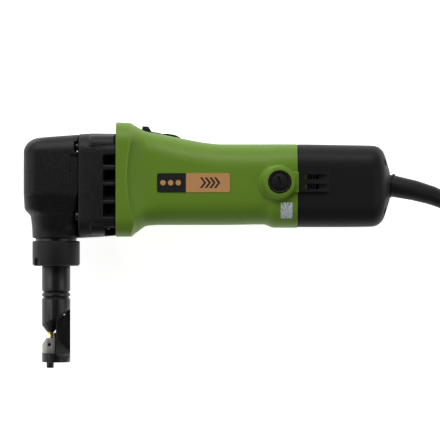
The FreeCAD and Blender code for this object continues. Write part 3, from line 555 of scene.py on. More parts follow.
def newFinish(name, colour, roughness, metallic=0.0, drift=0.12, smudge=0.06, grain=2500.0, lumps=300.0,
              lumpShare=0.3, relief=0.02, edgeWearAndHighlightColour=None, edgeWearAndHighlightWidth=0.0004, coat=0.0, specular=0.5, glintColour=None):
    # a solid finish: handled colour and gloss, grain as relief in millimetres, and where given a paler edge
    # colour that is partly rubbed wear and partly painted highlight
    material = bpy.data.materials.new(name)
    material.use_nodes = True
    material.diffuse_color = (*colour, 1)
    tree = material.node_tree
    shader = tree.nodes["Principled BSDF"]
    shader.inputs["Metallic"].default_value = metallic
    shader.inputs["Coat Weight"].default_value = coat
    shader.inputs["Specular IOR Level"].default_value = specular
    handled = useGroup(tree, handledSurface, Drift=drift, Roughness=roughness, Smudge=smudge)
    handled.inputs["Color"].default_value = (*colour, 1)
    base = handled.outputs["Color"]
    if glintColour:
        # painted glints: pale grains here and there, standing for the high spots of a rough casting catching
        # the light
        glintMask = tree.nodes.new("ShaderNodeMapRange")
        glintMask.inputs["From Min"].default_value, glintMask.inputs["From Max"].default_value = 0.52, 0.72
        tree.links.new(noiseNode(tree, grain * 1.1, 2.0), glintMask.inputs["Value"])
        base = mixColours(tree, glintMask.outputs["Result"], base, glintColour)
    # edges take a paler colour: partly rubbed wear, partly a painted highlight along each edge
    if edgeWearAndHighlightColour:
        edges = useGroup(tree, edgeWearAndHighlightMask, Width=edgeWearAndHighlightWidth)
        base = mixColours(tree, edges.outputs["Mask"], base, edgeWearAndHighlightColour)
    tree.links.new(base, shader.inputs["Base Color"])
    tree.links.new(handled.outputs["Roughness"], shader.inputs["Roughness"])
    texture = useGroup(tree, surfaceGrain, Grain_Scale=grain, Lump_Scale=lumps, Lump_Share=lumpShare)
    bump = tree.nodes.new("ShaderNodeBump")
    bump.inputs["Strength"].default_value = 0.6
    bump.inputs["Distance"].default_value = relief * mm
    tree.links.new(texture.outputs["Height"], bump.inputs["Height"])
    tree.links.new(bump.outputs["Normal"], shader.inputs["Normal"])
    return material


wavesPerLine = 0.16  # a wave texture's scale for one line in each unit of length


def lathed(material, shade, axis, pitch=0.35, depth=0.6):
    # adds fine turning lines across an axis to a metal's colour; shade is how dark they are
    tree = material.node_tree
    shader = tree.nodes["Principled BSDF"]
    place = tree.nodes.new("ShaderNodeTexCoord").outputs["Object"]
    wave = tree.nodes.new("ShaderNodeTexWave")
    wave.bands_direction = axis
    wave.inputs["Scale"].default_value = wavesPerLine / (pitch * mm)
    wave.inputs["Distortion"].default_value = 1.5
    wave.inputs["Detail"].default_value = 2.0
    tree.links.new(place, wave.inputs["Vector"])
    old = shader.inputs["Base Color"].links[0].from_socket
    dark = tree.nodes.new("ShaderNodeHueSaturation")
    dark.inputs["Value"].default_value = shade
    tree.links.new(old, dark.inputs["Color"])
    mask = mathNode(tree, "MULTIPLY", wave.outputs["Fac"], depth)
    tree.links.new(mixColours(tree, mask, old, dark.outputs["Color"]), shader.inputs["Base Color"])
    return material


def foilFinish(x, y):
    # pressed foil: pale rays that fan out from one spot, some of them teal or dark
    material = newFinish("holoFoil", (0.7, 0.72, 0.76), 0.4, smudge=0.1, relief=0.01)
    tree = material.node_tree
    shader = tree.nodes["Principled BSDF"]
    shader.inputs["Metallic"].default_value = 0.1
    mapping = tree.nodes.new("ShaderNodeMapping")
    mapping.vector_type = "TEXTURE"
    mapping.inputs["Location"].default_value = world(x, y, 0)
    tree.links.new(tree.nodes.new("ShaderNodeTexCoord").outputs["Object"], mapping.inputs["Vector"])
    parts = tree.nodes.new("ShaderNodeSeparateXYZ")
    tree.links.new(mapping.outputs["Vector"], parts.inputs["Vector"])
    turn = mathNode(tree, "ABSOLUTE", mathNode(tree, "ARCTAN2", parts.outputs["X"], parts.outputs["Y"]))
    ray = mathNode(tree, "ADD", mathNode(tree, "MULTIPLY", turn, 1.5), noiseNode(tree, 330.0, 2.0))
    ramp = tree.nodes.new("ShaderNodeValToRGB")
    stops = [(0.0, (0.75, 0.76, 0.86)), (0.22, (0.5, 0.55, 0.68)), (0.36, (0.93, 0.92, 0.95)),
             (0.52, (0.06, 0.36, 0.27)), (0.6, (0.82, 0.86, 0.92)), (0.78, (0.83, 0.76, 0.5)),
             (0.9, (0.1, 0.09, 0.16))]
    ramp.color_ramp.elements.remove(ramp.color_ramp.elements[1])
    ramp.color_ramp.elements[0].color = (*stops[0][1], 1)
    for place, colour in stops[1:]:
        ramp.color_ramp.elements.new(place).color = (*colour, 1)
    tree.links.new(mathNode(tree, "FRACT", ray), ramp.inputs["Fac"])
    tree.links.new(ramp.outputs["Color"], shader.inputs["Base Color"])
    return material


finishes = {
    # the pale edge colour on the green paints a highlight line along its creases and rims
    "green_housing": newFinish("greenPlastic", (0.137, 0.255, 0.019), 0.46, specular=0.3, drift=0.1,
                               grain=3200, lumps=120,
                               lumpShare=0.6, relief=0.012, edgeWearAndHighlightColour=(0.28, 0.43, 0.07), edgeWearAndHighlightWidth=0.0008),
    "black_cover": newFinish("blackPlastic", (0.0105, 0.0098, 0.0105), 0.5, grain=3000, relief=0.012,
                             edgeWearAndHighlightColour=(0.02, 0.02, 0.021), specular=0.18),
    # the casting's pale grains are painted glints, and its edge colour is partly wear and partly painted
    # highlight
    "black_casting": newFinish("blackCasting", (0.0048, 0.0045, 0.0048), 0.46, grain=1150, lumps=420,
                               lumpShare=0.9,
                               relief=0.34, edgeWearAndHighlightColour=(0.014, 0.014, 0.0145), smudge=0.12, specular=0.3,
                               glintColour=(0.022, 0.0215, 0.0225)),
    # the pale edge colour on the blackened steel paints highlight lines along its edges
    "dark_steel": lathed(newFinish("blackenedSteel", (0.011, 0.011, 0.0125), 0.33, metallic=0.05,
                                   relief=0.006,
                                   edgeWearAndHighlightColour=(0.11, 0.11, 0.115), edgeWearAndHighlightWidth=0.00035, specular=0.48), 0.7, "Y"),
    "bright_steel": newFinish("groundSteel", (0.36, 0.35, 0.32), 0.5, metallic=0.55, drift=0.7, relief=0.02,
                              edgeWearAndHighlightColour=(0.6, 0.59, 0.55)),
    "gold_coating": newFinish("goldCoating", (0.95, 0.75, 0.16), 0.3, metallic=0.6, drift=0.25, relief=0.006,
                              edgeWearAndHighlightColour=(1.0, 0.86, 0.42)),
    "copper": newFinish("enamelledCopper", (0.5, 0.2, 0.075), 0.35, metallic=0.9, drift=0.3, relief=0.05,
                        coat=0.3),
    "laminations": lathed(newFinish("steelLaminations", (0.26, 0.26, 0.265), 0.45, metallic=0.9, relief=0.02),
                          0.35, "X", 0.5, 0.8),
    "bronze": newFinish("sinteredBronze", (0.42, 0.27, 0.1), 0.5, metallic=0.9, grain=5000, relief=0.03),
    "carbon": newFinish("pressedCarbon", (0.02, 0.02, 0.02), 0.6, grain=4000, relief=0.02, specular=0.3),
    "rubber_black": newFinish("blackRubber", (0.009, 0.0088, 0.0095), 0.5, grain=2200, relief=0.014,
                              smudge=0.1, specular=0.25,
                              edgeWearAndHighlightColour=(0.028, 0.028, 0.03)),
    "inner_plastic": newFinish("filledPlastic", (0.035, 0.035, 0.038), 0.55, grain=2600, relief=0.025),
    "label_print": newFinish("orangePrint", (0.57, 0.285, 0.112), 0.42, drift=0.1, relief=0.006, coat=0.15),
    "foil": foilFinish(61, -22.5),
    "plated": newFinish("nickelPlate", (0.66, 0.65, 0.62), 0.2, metallic=1.0, drift=0.15, relief=0.004,
                        edgeWearAndHighlightColour=(0.8, 0.79, 0.76)),
}
satinNut = newFinish("satinNut", (0.0105, 0.0103, 0.0112), 0.5, grain=1500, relief=0.04, specular=0.28,
                     edgeWearAndHighlightColour=(0.05, 0.05, 0.052))
blackPrint = newFinish("blackPrint", (0.012, 0.0115, 0.0125), 0.4, drift=0.1, relief=0.006, coat=0.15)
print("finishes: %d" % len(finishes))

for node, part in nodes.items():
    part.data.materials.clear()
    part.data.materials.append(finishes[slotOfNode[node]])

settle(mainsLead, "power_cord", finishes["rubber_black"])
guardPiece = settle(bendGuard(), "cord_guard", finishes["rubber_black"])
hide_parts("cord_guard")
print("lead and bend guard")


def railBow(x, u, v, wide):
    # the flange's rear edge curves forward along the housing's flat side
    side = max(0.0, (abs(v) / wide - 0.72) / 0.28) ** 2
    bow = -2.6 - 0.048 * max(-33, min(33, u)) + 0.0044 * max(-33, min(33, u)) ** 2
    share = (x + 69.9) / 11.3 if x < -58.6 else max(0.0, 1 - (x + 58.6) / 15)
    return bow * side * share


# green motor housing
housing = {"trackFront": -58.0, "trackBack": -19.5, "trackHalf": 8.2, "trackHeight": 41.5, "trackFall": 0.2,
           "boss": (55.8, 1.3), "capBore": 9.1, "fieldBore": 25.5}


def trackLine(x):
    return housing["trackHeight"] - (x - housing["trackFront"]) * housing["trackFall"]


def motorHousing():
    flange = [(-69.9, -40.3, 46.8, 36.0, 15), (-69.5, -40.8, 47.3, 36.3, 15), (-60.2, -40.8, 46.9, 36.3, 15),
              (-59.2, -40.8, 46.9, 36.85, 15), (-58.8, -40.8, 46.9, 36.9, 15)]
    handle = [(-58.5, -40.7, 46.8, 36.6, 15), (-57.2, -39.4, 45.9, 34.4, 15),
              (-54.2, -37.2, 44.1, 32.3, 15), (-46.6, -32.5, 40.3, 29.5, 16),
              (-36.1, -31.8, 38.4, 28.6, 17), (-17.6, -31.8, 34.7, 28.6, 18), (1.4, -31.8, 31.4, 28.6, 18),
              (11.4, -31.8, 30.6, 28.6, 18), (43.5, -31.4, 30.6, 28.6, 18), (52, -33.9, 30.6, 30.2, 17),
              (69.2, -33.9, 30.5, 30.4, 16), (69.6, -33.6, 30.2, 30.1, 16)]
    rows = monotone(flange, 1.2) + monotone(handle, 1.2)
    shell = loftAlongX("motorHousing", rows, None, railBow, 34)
    (bossX, bossY), bore = housing["boss"], housing["fieldBore"]
    for side in (1, -1):
        # the brush boss leans out of the wall: its foot is wider and set a little forward
        stages = [(22, -1.3, -0.7, 14.9), (29.6, -1.3, -0.7, 14.6), (30.6, -1.1, -0.6, 13.8),
                  (32.4, -0.6, -0.3, 12.9),
                  (35.6, 0, 0, 12.1), (36.2, 0, 0, 11.8), (36.5, 0, 0, 11.2)]
        rings = [[world(bossX + dx + r * math.cos(k * math.pi / 48), bossY + dy
                        + r * math.sin(k * math.pi / 48), z * side)
                  for k in range(96)] for z, dx, dy, r in stages]
        low, high = depths(side, 26, 32.4)
        addOn(shell, loftRings("boss", rings),
              blockPiece("bridge", (bossX + 2, -6.9, low), (70.6, 9.1, high), 0.8))
    inside = turnedPiece("inside", "x", (0, 0, 0),
                         [(-71, 0), (-71, 28.5), (-52, 28.5), (-49, bore), (42, bore),
                                                    (44, 27.2), (66, 27.2), (66, 11.15), (71, 11.15),
                                                    (71, 0)])
    caps = turnedPiece("caps", "z", (bossX, bossY, 0), [(-45, 0), (-45, housing["capBore"]),
                                                        (45, housing["capBore"]), (45, 0)])
    front, back, half = housing["trackFront"], housing["trackBack"], housing["trackHalf"]
    track = prismPiece("track", [(front, trackLine(front)), (back, trackLine(back)), (back, 60), (front, 60)],
                       -half, half, "xy")
    rodWay = blockPiece("rodWay", (-50, 23.7, -4.5), (71, 28.3, 4.5))
    tongueWay = blockPiece("tongueWay", (-45, 24, -2.7), (-33, 44, 2.7))
    cutAway(shell, inside, caps, track, rodWay, tongueWay)
    smoothByAngle(shell.data, 30)
    return standFor(shell, "motor_housing", finishes["green_housing"])


# black rear cover with its two vent panels
cover = {"panel": (-6.2, 9.0), "panelEnd": 94.3, "panelTop": 32.3, "slotFront": 74.7, "slotBack": 85.7,
         "slots": ((3.4, 7.2), (-4.1, -0.1)), "screws": ((-21, 16), (-21, -16), (17, 19), (17, -19)),
         "wellLow": 133.4,
         "wellHigh": 134.6}


def rearCover():
    rows = [(69.6, -32.9, 29.9, 29.7, 16), (70.1, -33.4, 30.4, 30.2, 16), (100, -33.4, 30.0, 29.9, 16),
            (124, -33.2, 29.6, 29.6, 16), (128.5, -32.9, 29.4, 29.3, 16), (131.5, -31.8, 28.7, 28.4, 16),
            (134, -30, 27.2, 26.8, 16), (136, -27.6, 25.1, 24.8, 15.5), (137.4, -24.4, 22.2, 21.8, 15),
            (138.6, -20.8, 18.8, 18.6, 14), (139.8, -17.2, 14.8, 15.4, 12), (140.8, -14, 11.4, 12.8, 10),
            (141.3, -12.4, 10, 11.6, 9.6)]
    shell = loftAlongX("rearCover", rows, 1.4, None, 34)
    end, top = cover["panelEnd"], cover["panelTop"]
    hollow = loftAlongX("hollow", [(68, -31, 28.1, 27.8, 13), (127, -31, 28.1, 27.8, 13),
                                   (134.5, -24, 21.5, 21.5, 10)], 8)
    cutAway(shell, hollow, solver="MANIFOLD")
    for side in (1, -1):
        panel = prismPiece("panel", [(70.4, 22.5 * side), (70.4, top * side), (end - 4.2, top * side),
                                     (end, 30.0 * side), (end, 22.5 * side)], *cover["panel"])
        addOn(shell, panel, solver="MANIFOLD")
        for low, high in cover["slots"]:
            front, back = cover["slotFront"], cover["slotBack"]
            ramp = prismPiece("slot", [(front, 40 * side), (front, 24.2 * side), (back, 24.2 * side),
                                       (back, 29.4 * side), (end + 0.6, 31.6 * side), (end + 0.6, 40 * side)],
                              low, high)
            cutAway(shell, ramp, solver="MANIFOLD")
    guardWay = turnedPiece("guardWay", "x", (0, -0.9, 0), [(130, 0), (130, 8.5), (150, 8.5), (150, 0)])
    notch = blockPiece("notch", (138.2, -19.4, -7), (145, -17.3, 7), 0.4)
    cutAway(shell, guardWay, notch, solver="MANIFOLD")
    for y, z in cover["screws"]:
        well = cover["wellLow"] if y < 0 else cover["wellHigh"]
        post = turnedPiece("post", "x", (0, y, z), [(71, 0), (71, 4.6), (132.5, 4.6), (132.5, 0)], 32)
        addOn(shell, post, solver="MANIFOLD")
        cutAway(shell, turnedPiece("well", "x", (0, y, z), [(well, 0), (well, 3.3), (150, 3.3), (150, 0)],
                                   32),
                turnedPiece("bore", "x", (0, y, z), [(65, 0), (65, 1.95), (138, 1.95), (138, 0)], 24),
                solver="MANIFOLD")
    smoothByAngle(shell.data, 30)
    return standFor(shell, "rear_cover", finishes["black_cover"])


# cast gear head: rounded block above, narrowing to the round neck below
head = {"front": -141.3, "seam": -98.8, "half": 29.6, "neckRadius": 18.4, "grain": 0.6,
        "screws": ((-24.8, 23.0), (-24.8, -23.0), (28.5, 23.0), (28.5, -23.0))}


def gearHead():
    tube, neck, half = tubeX, head["neckRadius"], head["half"]
    front, seam = head["front"], head["seam"]
    # (height, front, back, half width, front corner, back corner)
    lower = [(-41.9, tube - neck, tube + neck, neck, neck, neck),
             (-37, tube - neck - 0.1, tube + neck, 18.9, 18.3, 17),
             (-31.4, tube - neck - 0.4, seam, 20.4, 17, 12), (-24.8, -136.5, seam, 22.8, 15, 8),
             (-22, -138.9, seam, 24.2, 14, 6), (-19, -140.9, seam, 25.4, 13, 5),
             (-8.2, front, seam, 28.9, 11.5, 3)]
    upper = [(-8, front, seam, half, 11, 2.2), (10, front, seam, half + 0.1, 11, 2.2),
             (24.5, front, seam, half, 11, 2.2)]
    rounding = []
    for step in range(1, 9):
        turn = math.pi / 2 * step / 8
        draw = 1 - math.cos(turn)
        rounding.append((24.5 + 11.2 * math.sin(turn), front + 11.5 * draw, seam, half - 11 * draw, 11, 2.2))
    rings = []
    for y, a, b, w, frontRadius, backRadius in monotone(lower, 1.2) + monotone(upper, 3) + rounding:
        lift = max(0.0, min(1.0, (y - 18) / 17))
        ring = roundedRing(a, b, w, frontRadius, backRadius)
        rings.append([world(x, y + lift * 0.072 * (x + 129.5), z) for x, z in ring])
    body = loftRings("gearHead", rings)
    addOn(body, turnedPiece("spigot", "y", (tube, 0, 0),
                            [(-55, 0), (-55, 15.0), (-54.5, 15.5), (-30, 15.5), (-30, 0)]))
    inside = prismPiece("inside",
                        [(front + 5.5, -5.5), (seam + 2, -5.5), (seam + 2, 35.6), (front + 13.8, 34.4),
                                   (front + 5.5, 25.5)], -19, 19, "xy")
    bore = turnedPiece("bore", "y", (tube, 0, 0), [(-57, 0), (-57, 9.05), (0, 9.05), (0, 0)])
    cutAway(body, inside, bore)
    for side in (1, -1):
        low, high = depths(side, 28.3, 34)
        cutAway(body, blockPiece("strip", (seam - 6.2, -22.5, low), (seam + 2.3, 22.3, high)),
                solver="MANIFOLD")
    for y, z in head["screws"]:
        side = 1 if z > 0 else -1
        low, high = depths(side, 19.0, 34.0)
        cutAway(body, blockPiece("screwSlot", (seam - 3.1, y - 4.1, low), (seam + 1, y + 4.1, high)),
                solver="MANIFOLD")
    soften(body, head["grain"], 5, 0.42)
    return standFor(body, "gear_head", finishes["black_casting"])


# cast gear case between the head and the housing, open at its rear edge for the fan's air
case = {"windows": ((-25.7, -15.7), (-12.6, -1.8), (1.2, 10.3), (14.2, 21.9)), "windowFront": -79.6,
        "screws": ((-32.0, 23.5), (-32.0, -23.5), (30.0, 23.5), (30.0, -23.5))}


def gearCase():
    rows = [(-98.75, -41.9, 38.2, 30.3, 13), (-94, -41.6, 38.6, 31.2, 13.5), (-86, -41.2, 38.8, 32.2, 14),
            (-70, -40, 38.6, 33, 15)]
    body = loftAlongX("gearCase", rows, 2.0)
    for y, z in case["screws"]:
        addOn(body, turnedPiece("boss", "x", (0, y, z * 1.04),
                                [(-90, 0), (-90, 6.4), (-89, 7.4), (-71, 7.4), (-71, 0)], 40))
    cutAway(body, blockPiece("gears", (-100, -14, -19), (-84.6, 35, 19)),
            turnedPiece("fanRoom", "x", (0, 0, 0), [(-75, 0), (-75, 20), (-68, 20), (-68, 0)]),
            turnedPiece("bearing", "x", (0, 0, 0), [(-87, 0), (-87, 11.05), (-70, 11.05), (-70, 0)]),
            turnedPiece("bush", "x", (0, 18.375, 0), [(-87, 0), (-87, 6.05), (-70, 6.05), (-70, 0)], 48))
    for low, high in case["windows"]:
        cutAway(body, blockPiece("window", (case["windowFront"], low, 23), (-68, high, 50)),
                blockPiece("window", (case["windowFront"], low, -50), (-68, high, -23)))
    for side in (1, -1):
        low, high = depths(side, 21.5, 50)
        cutAway(body, blockPiece("cornerVent", (-78.6, -50, low), (-70.6, -33.2, high)))
    soften(body, head["grain"], 4, 0.42)
    return standFor(body, "gear_case", finishes["black_casting"])


motorHousing()
print("motor housing")
rearCover()
print("rear cover")
gearHead()
gearCase()
print("castings")


# trees that set out what repeats
def spreadTree(name, dimensions):
    tree = bpy.data.node_groups.new(name, "GeometryNodeTree")
    sockets = [("Piece", "Object"), ("Finish", "Material")]
    for axis in dimensions:
        sockets += [("Count " + axis, "Int"), ("Step " + axis, "Vector")]
    tree.interface.new_socket("Start", in_out="INPUT", socket_type="NodeSocketVector")
    for label, kind in sockets:
        tree.interface.new_socket(label, in_out="INPUT", socket_type="NodeSocket" + kind)
    tree.interface.new_socket("Geometry", in_out="OUTPUT", socket_type="NodeSocketGeometry")
    given, wanted = tree.nodes.new("NodeGroupInput").outputs, tree.nodes.new("NodeGroupOutput").inputs
    source = tree.nodes.new("GeometryNodeObjectInfo")
    tree.links.new(given["Piece"], source.inputs["Object"])
    shape = source.outputs["Geometry"]
    for index, axis in enumerate(dimensions):
        line = tree.nodes.new("GeometryNodeMeshLine")
        tree.links.new(given["Count " + axis], line.inputs["Count"])
        tree.links.new(given["Step " + axis], line.inputs["Offset"])
        if not index:
            tree.links.new(given["Start"], line.inputs["Start Location"])
        spread = tree.nodes.new("GeometryNodeInstanceOnPoints")
        tree.links.new(line.outputs["Mesh"], spread.inputs["Points"])
        tree.links.new(shape, spread.inputs["Instance"])
        shape = spread.outputs["Instances"]
    real = tree.nodes.new("GeometryNodeRealizeInstances")
    paint = tree.nodes.new("GeometryNodeSetMaterial")
    tree.links.new(shape, real.inputs["Geometry"])
    tree.links.new(real.outputs["Geometry"], paint.inputs["Geometry"])
    tree.links.new(given["Finish"], paint.inputs["Material"])
    tree.links.new(paint.outputs["Geometry"], wanted["Geometry"])
    return tree


rowTree, gridTree = spreadTree("rowOfPieces", ("A",)), spreadTree("gridOfPieces", ("A", "B"))


def spreadPieces(name, piece, finish, start, *steps):
    # copies of a piece made round the frame's origin; steps are (count, step) in millimetres
    obj = addObject(name, bpy.data.meshes.new(name))
    mod = obj.modifiers.new("spread", "NODES")
    mod.node_group = rowTree if len(steps) == 1 else gridTree
    values = {"Piece": piece, "Finish": finish, "Start": [v * mm for v in start]}
    for axis, (count, step) in zip("AB", steps):
        values["Count " + axis], values["Step " + axis] = count, [v * mm for v in step]
    for socket in mod.node_group.interface.items_tree:
        if socket.in_out == "INPUT":
            mod[socket.identifier] = values[socket.name]
    bake(obj)
    bpy.data.objects.remove(piece)
    smoothByAngle(obj.data, 32)
    return obj


def atOrigin(obj):
    # moves a piece made round the motor axis to the frame's own origin
    obj.data.transform(Matrix.Translation(-motorAxis * mm))
    return obj


def follow(obj, node):
    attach(obj, bodyOfNode[node])
    return obj


# brush caps, one on each side, with a driver slot in a sunk middle
capShape = {"rim": 8.9, "groove": 6.95, "middle": 6.4, "slot": (8.3, 1.3, 1.3), "lean": 15}


def brushCap(node, side):
    rim, groove, middle = capShape["rim"], capShape["groove"], capShape["middle"]
    outline = [(27.5, 0), (27.5, 8.0), (29.3, 8.0), (29.3, rim), (36.2, rim), (36.7, rim - 0.45),
               (36.7, groove + 0.5),
               (36.4, groove), (35.0, groove), (35.0, middle), (36.0, middle), (36.25, middle - 0.4),
               (36.3, 0)]
    piece = turnedPiece(node + "_finished", "z", (*housing["boss"], 0),
                        [(along * side, r) for along, r in outline])
    long, wide, deep = capShape["slot"]
    low, high = depths(side, 36.3 - deep, 38)
    slot = blockPiece("slot", (-wide / 2, -long / 2, low), (wide / 2, long / 2, high), 0.15)
    cutAway(piece, turnAbout(slot, capShape["lean"], "Z", (*housing["boss"], 0)))
    smoothByAngle(piece.data, 32)
    return standFor(piece, node, finishes["black_cover"])


brushCap("brush_cap_right", 1)
brushCap("brush_cap_left", -1)

# slats behind the vent slots, and the housing's end showing at the front of each slot
slatPiece = atOrigin(blockPiece("slat", (-0.55, -2.1, -1.2), (0.55, 2.1, 1.2), 0.2))
for side, label in ((1, "Near"), (-1, "Far")):
    slats = spreadPieces("ventSlats" + label, slatPiece.copy(), finishes["inner_plastic"],
                         world(78.6, 5.2, 26.0 * side) / mm, (3, (2.3, 0, 0)), (2, (0, -7.4, 0)))
    follow(slats, "rear_cover")
    lips = spreadPieces("ventLips" + label,
                        atOrigin(blockPiece("lip", (-1.1, -1.9, -0.9), (1.1, 1.9, 0.9), 0.2)),
                        finishes["green_housing"], world(75.8, 5.2, 27.2 * side) / mm, (2, (0, -7.4, 0)))
    follow(lips, "motor_housing")
bpy.data.objects.remove(slatPiece)
print("caps and vents")

# printed label on the side: dark and orange halves with a plain row of chevrons
label = {"x": (-38.3, 17.6), "y": (-6.65, 8.1), "split": -16.1, "low": 28.45, "high": 29.1, "corner": 1.7,
         "chevrons": (-0.5, 3.6, 4.1, 3.2, 5.0, 1.8), "dots": (-33.8, 5.9, 2.1)}


def touches(face, shape):
    xs, ys = [v.co.x / mm for v in face.verts], [v.co.y / mm - motorAxis.y for v in face.verts]
    return (min(xs) < max(p[0] for p in shape) and max(xs) > min(p[0] for p in shape)
            and min(ys) < max(p[1] for p in shape) and max(ys) > min(p[1] for p in shape))


def holds(shape, at):
    inside = False
    for (x0, y0), (x1, y1) in zip(shape, shape[1:] + shape[:1]):
        if (y0 > at[1]) != (y1 > at[1]) and at[0] < (x1 - x0) * (at[1] - y0) / (y1 - y0) + x0:
            inside = not inside
    return inside


def labelPlate():
    (left, right), (low, high), corner = label["x"], label["y"], label["corner"]
    arcs = []
    for cx, cy, start in ((right - corner, high - corner, 0), (left + corner, high - corner, 90),
                          (left + corner, low + corner, 180), (right - corner, low + corner, 270)):
        arcs += [(cx + corner * math.cos(math.radians(start + 15 * k)), cy
                  + corner * math.sin(math.radians(start + 15 * k)))
                 for k in range(7)]
    plate = prismPiece("labelPlate", arcs, label["low"], label["high"], "xy")
    plate.data.materials.append(finishes["label_print"])
    plate.data.materials.append(blackPrint)
    bm = bmesh.new()
    bm.from_mesh(plate.data)
    middle = (low + high) / 2
    marks = [[(label["split"], low - 1), (label["split"], high + 1)]]
    shapes = []
    first, step, tall, near, far, inset = label["chevrons"]
    for k in range(4):
        tip = first + step * k
        shapes.append([(tip, middle), (tip - near, middle + tall), (tip - far, middle + tall),
                       (tip - inset, middle),
                       (tip - far, middle - tall), (tip - near, middle - tall)])
    first, step, radius = label["dots"]
    for k in range(3):
        spot = first + step * k
        shapes.append([(spot + radius * math.cos(a * math.pi / 8), middle
                        + radius * math.sin(a * math.pi / 8))
                       for a in range(16)])
    for shape in marks + shapes:
        for a, b in zip(shape, shape[1:] + (shape[:1] if len(shape) > 2 else [])):
            one, two = world(*a, 0), world(*b, 0)
            normal = (two - one).cross(Vector((0, 0, 1)))
            cut = [face for face in bm.faces if face.normal.z > 0.5
                   and (len(shape) == 2 or touches(face, shape))]
            geom = list({item for face in cut for item in list(face.verts) + list(face.edges) + [face]})
            bmesh.ops.bisect_plane(bm, geom=geom, plane_co=one, plane_no=normal, dist=1e-8)
    for face in bm.faces:
        if face.normal.z > 0.5:
            spot = face.calc_center_median()
            at = (spot.x / mm, spot.y / mm - motorAxis.y)
            dark = at[0] < label["split"]
            if any(holds(shape, at) for shape in shapes):
                dark = not dark
            face.material_index = int(dark)
    bm.to_mesh(plate.data)
    bm.free()
    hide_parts("label_plate")
    return follow(plate, "label_plate")


labelPlate()


foilShape = {"x": (56.6, 65.6), "y": (-26.7, -14.4), "radius": 16.6, "wide": 30.3, "foot": -33.9, "half": 0.3,
             "steps": 16}


def foilPatch():
    # a thin patch bent over the housing's lower edge
    (left, right), (low, high), radius = foilShape["x"], foilShape["y"], foilShape["radius"]
    wide, foot, half, steps = foilShape["wide"], foilShape["foot"], foilShape["half"], foilShape["steps"]
    outer, inner = [], []
    for k in range(steps + 1):
        y = low + (high - low) * k / steps
        drop = max(0.0, foot + radius - y)
        z = wide - radius + math.sqrt(radius ** 2 - drop ** 2)
        outer.append((y, z + half))
        inner.append((y, z - half))
    return prismPiece("foilPatch", outer + inner[::-1], left, right, "yz", 50)


standFor(foilPatch(), "foil_sticker", finishes["foil"])
print("label and foil")

# collar nut, washer and cutting end
cutter = {"radius": 11.0, "low": -138.1, "dieTop": -119.35, "dieLow": -130.9, "throat": -114.7, "punch": -4.3,
          "grooves": (-82.5, -86.5), "notchTop": -57.4, "notchTurn": -51}


def collarNut():
    nut = finishedNode("collar_nut", 0.2)
    notch = blockPiece("notch", (-3.4, -70, 16.9), (3.4, cutter["notchTop"], 22), 0.2)
    cutAway(nut, turnAbout(notch, cutter["notchTurn"], "Y", (tubeX, 0, 0)))
    smoothByAngle(nut.data, 40)
    return settle(nut, "collar_nut", satinNut)


def bevelEdges(obj, width, angle):
    mod = obj.modifiers.new("edges", "BEVEL")
    mod.width, mod.segments = width * mm, 2
    mod.limit_method, mod.angle_limit = "ANGLE", math.radians(angle)
    bake(obj)
    smoothByAngle(obj.data, 35)


def dieHolder():
    tube, r, low, throat = tubeX, cutter["radius"], cutter["low"], cutter["throat"]
    outline = [(-55.4, 0, 0), (-55.4, 14.0, 0), (-58.5, 14.0, 0), (-58.5, r - 0.2, 0), (-64.0, r - 0.2, 0),
               (-64.5, r, 0)]
    for groove in cutter["grooves"]:
        outline += [(groove, r, 0.2), (groove - 1.2, r - 1.5, 0.5), (groove - 2.4, r, 0.2)]
    outline += [(low, r, 0.9), (low, 0, 0)]
    body = turnedPiece("die_holder_finished", "y", (tube, 0, 0), filleted(outline), 128)
    for side in (1, -1):
        # the spine thins towards its back edge; the walls of the recess lean outwards
        near = [(0.1, -107.8, 2.6), (16, -91.9, -0.4), (16, -135.0, -0.4), (1.8, -120.9, 2.28)]
        far = [(0.4, -103.9, 12.4), (16, -86.5, 12.4), (16, -151.0, 12.4), (0.6, -133.6, 12.4)]
        cutAway(body, loftRings("recess",
                                [[world(tube + x, y, z * side) for x, y, z in ring] for ring in (near, far)]))
    mouth = blockPiece("mouth", (tube - 14, cutter["dieTop"] - 0.1, -15), (tube - 1.35, throat, 15))
    seat = blockPiece("seat", (tube - 14, cutter["dieLow"], -15), (tube - 0.45, cutter["dieTop"] + 0.5, 15))
    nose = blockPiece("nose", (tube - 14, throat - 0.5, -15), (tube + 0.2, throat + 17, 15))
    cone = turnedPiece("cone", "y", (tube + cutter["punch"], 0, 0),
                       [(throat - 1, 0), (throat - 1, 2.7), (throat, 2.7), (throat + 19, 2.7 + 19 * 0.787),
                        (throat + 19, 0)])
    cutAway(nose, cone)
    bore = turnedPiece("bore", "y", (tube + cutter["punch"], 0, 0),
                       [(throat - 2, 0), (throat - 2, 2.4), (-100, 2.4), (-100, 0)], 48)
    upper = turnedPiece("upperBore", "y", (tube, 0, 0), [(-101.5, 0), (-101.5, 7.05), (-50, 7.05), (-50, 0)])
    screwWay = turnedPiece("screwWay", "y", (tube - 4.6, 0, 0),
                           [(low - 1, 0), (low - 1, 2.05), (-129, 2.05), (-129, 0)], 48)
    cutAway(body, mouth, seat, nose, bore, upper, screwWay)
    bevelEdges(body, 0.22, 35)
    return standFor(body, "die_holder", finishes["dark_steel"])


collarNut()
washer = turnedPiece("neckRing", "y", (tubeX, 0, 0),
                     [(-44.0, 15.55), (-44.0, 15.9), (-42.0, 15.9), (-42.0, 15.55)])
standFor(washer, "neck_washer", finishes["dark_steel"])
dieHolder()
dieShape = finishedNode("die", 0.25)
addOn(dieShape, blockPiece("diePlug", (tubeX - 7, -126.5, -3), (tubeX - 2.4, -122, 3.6)))
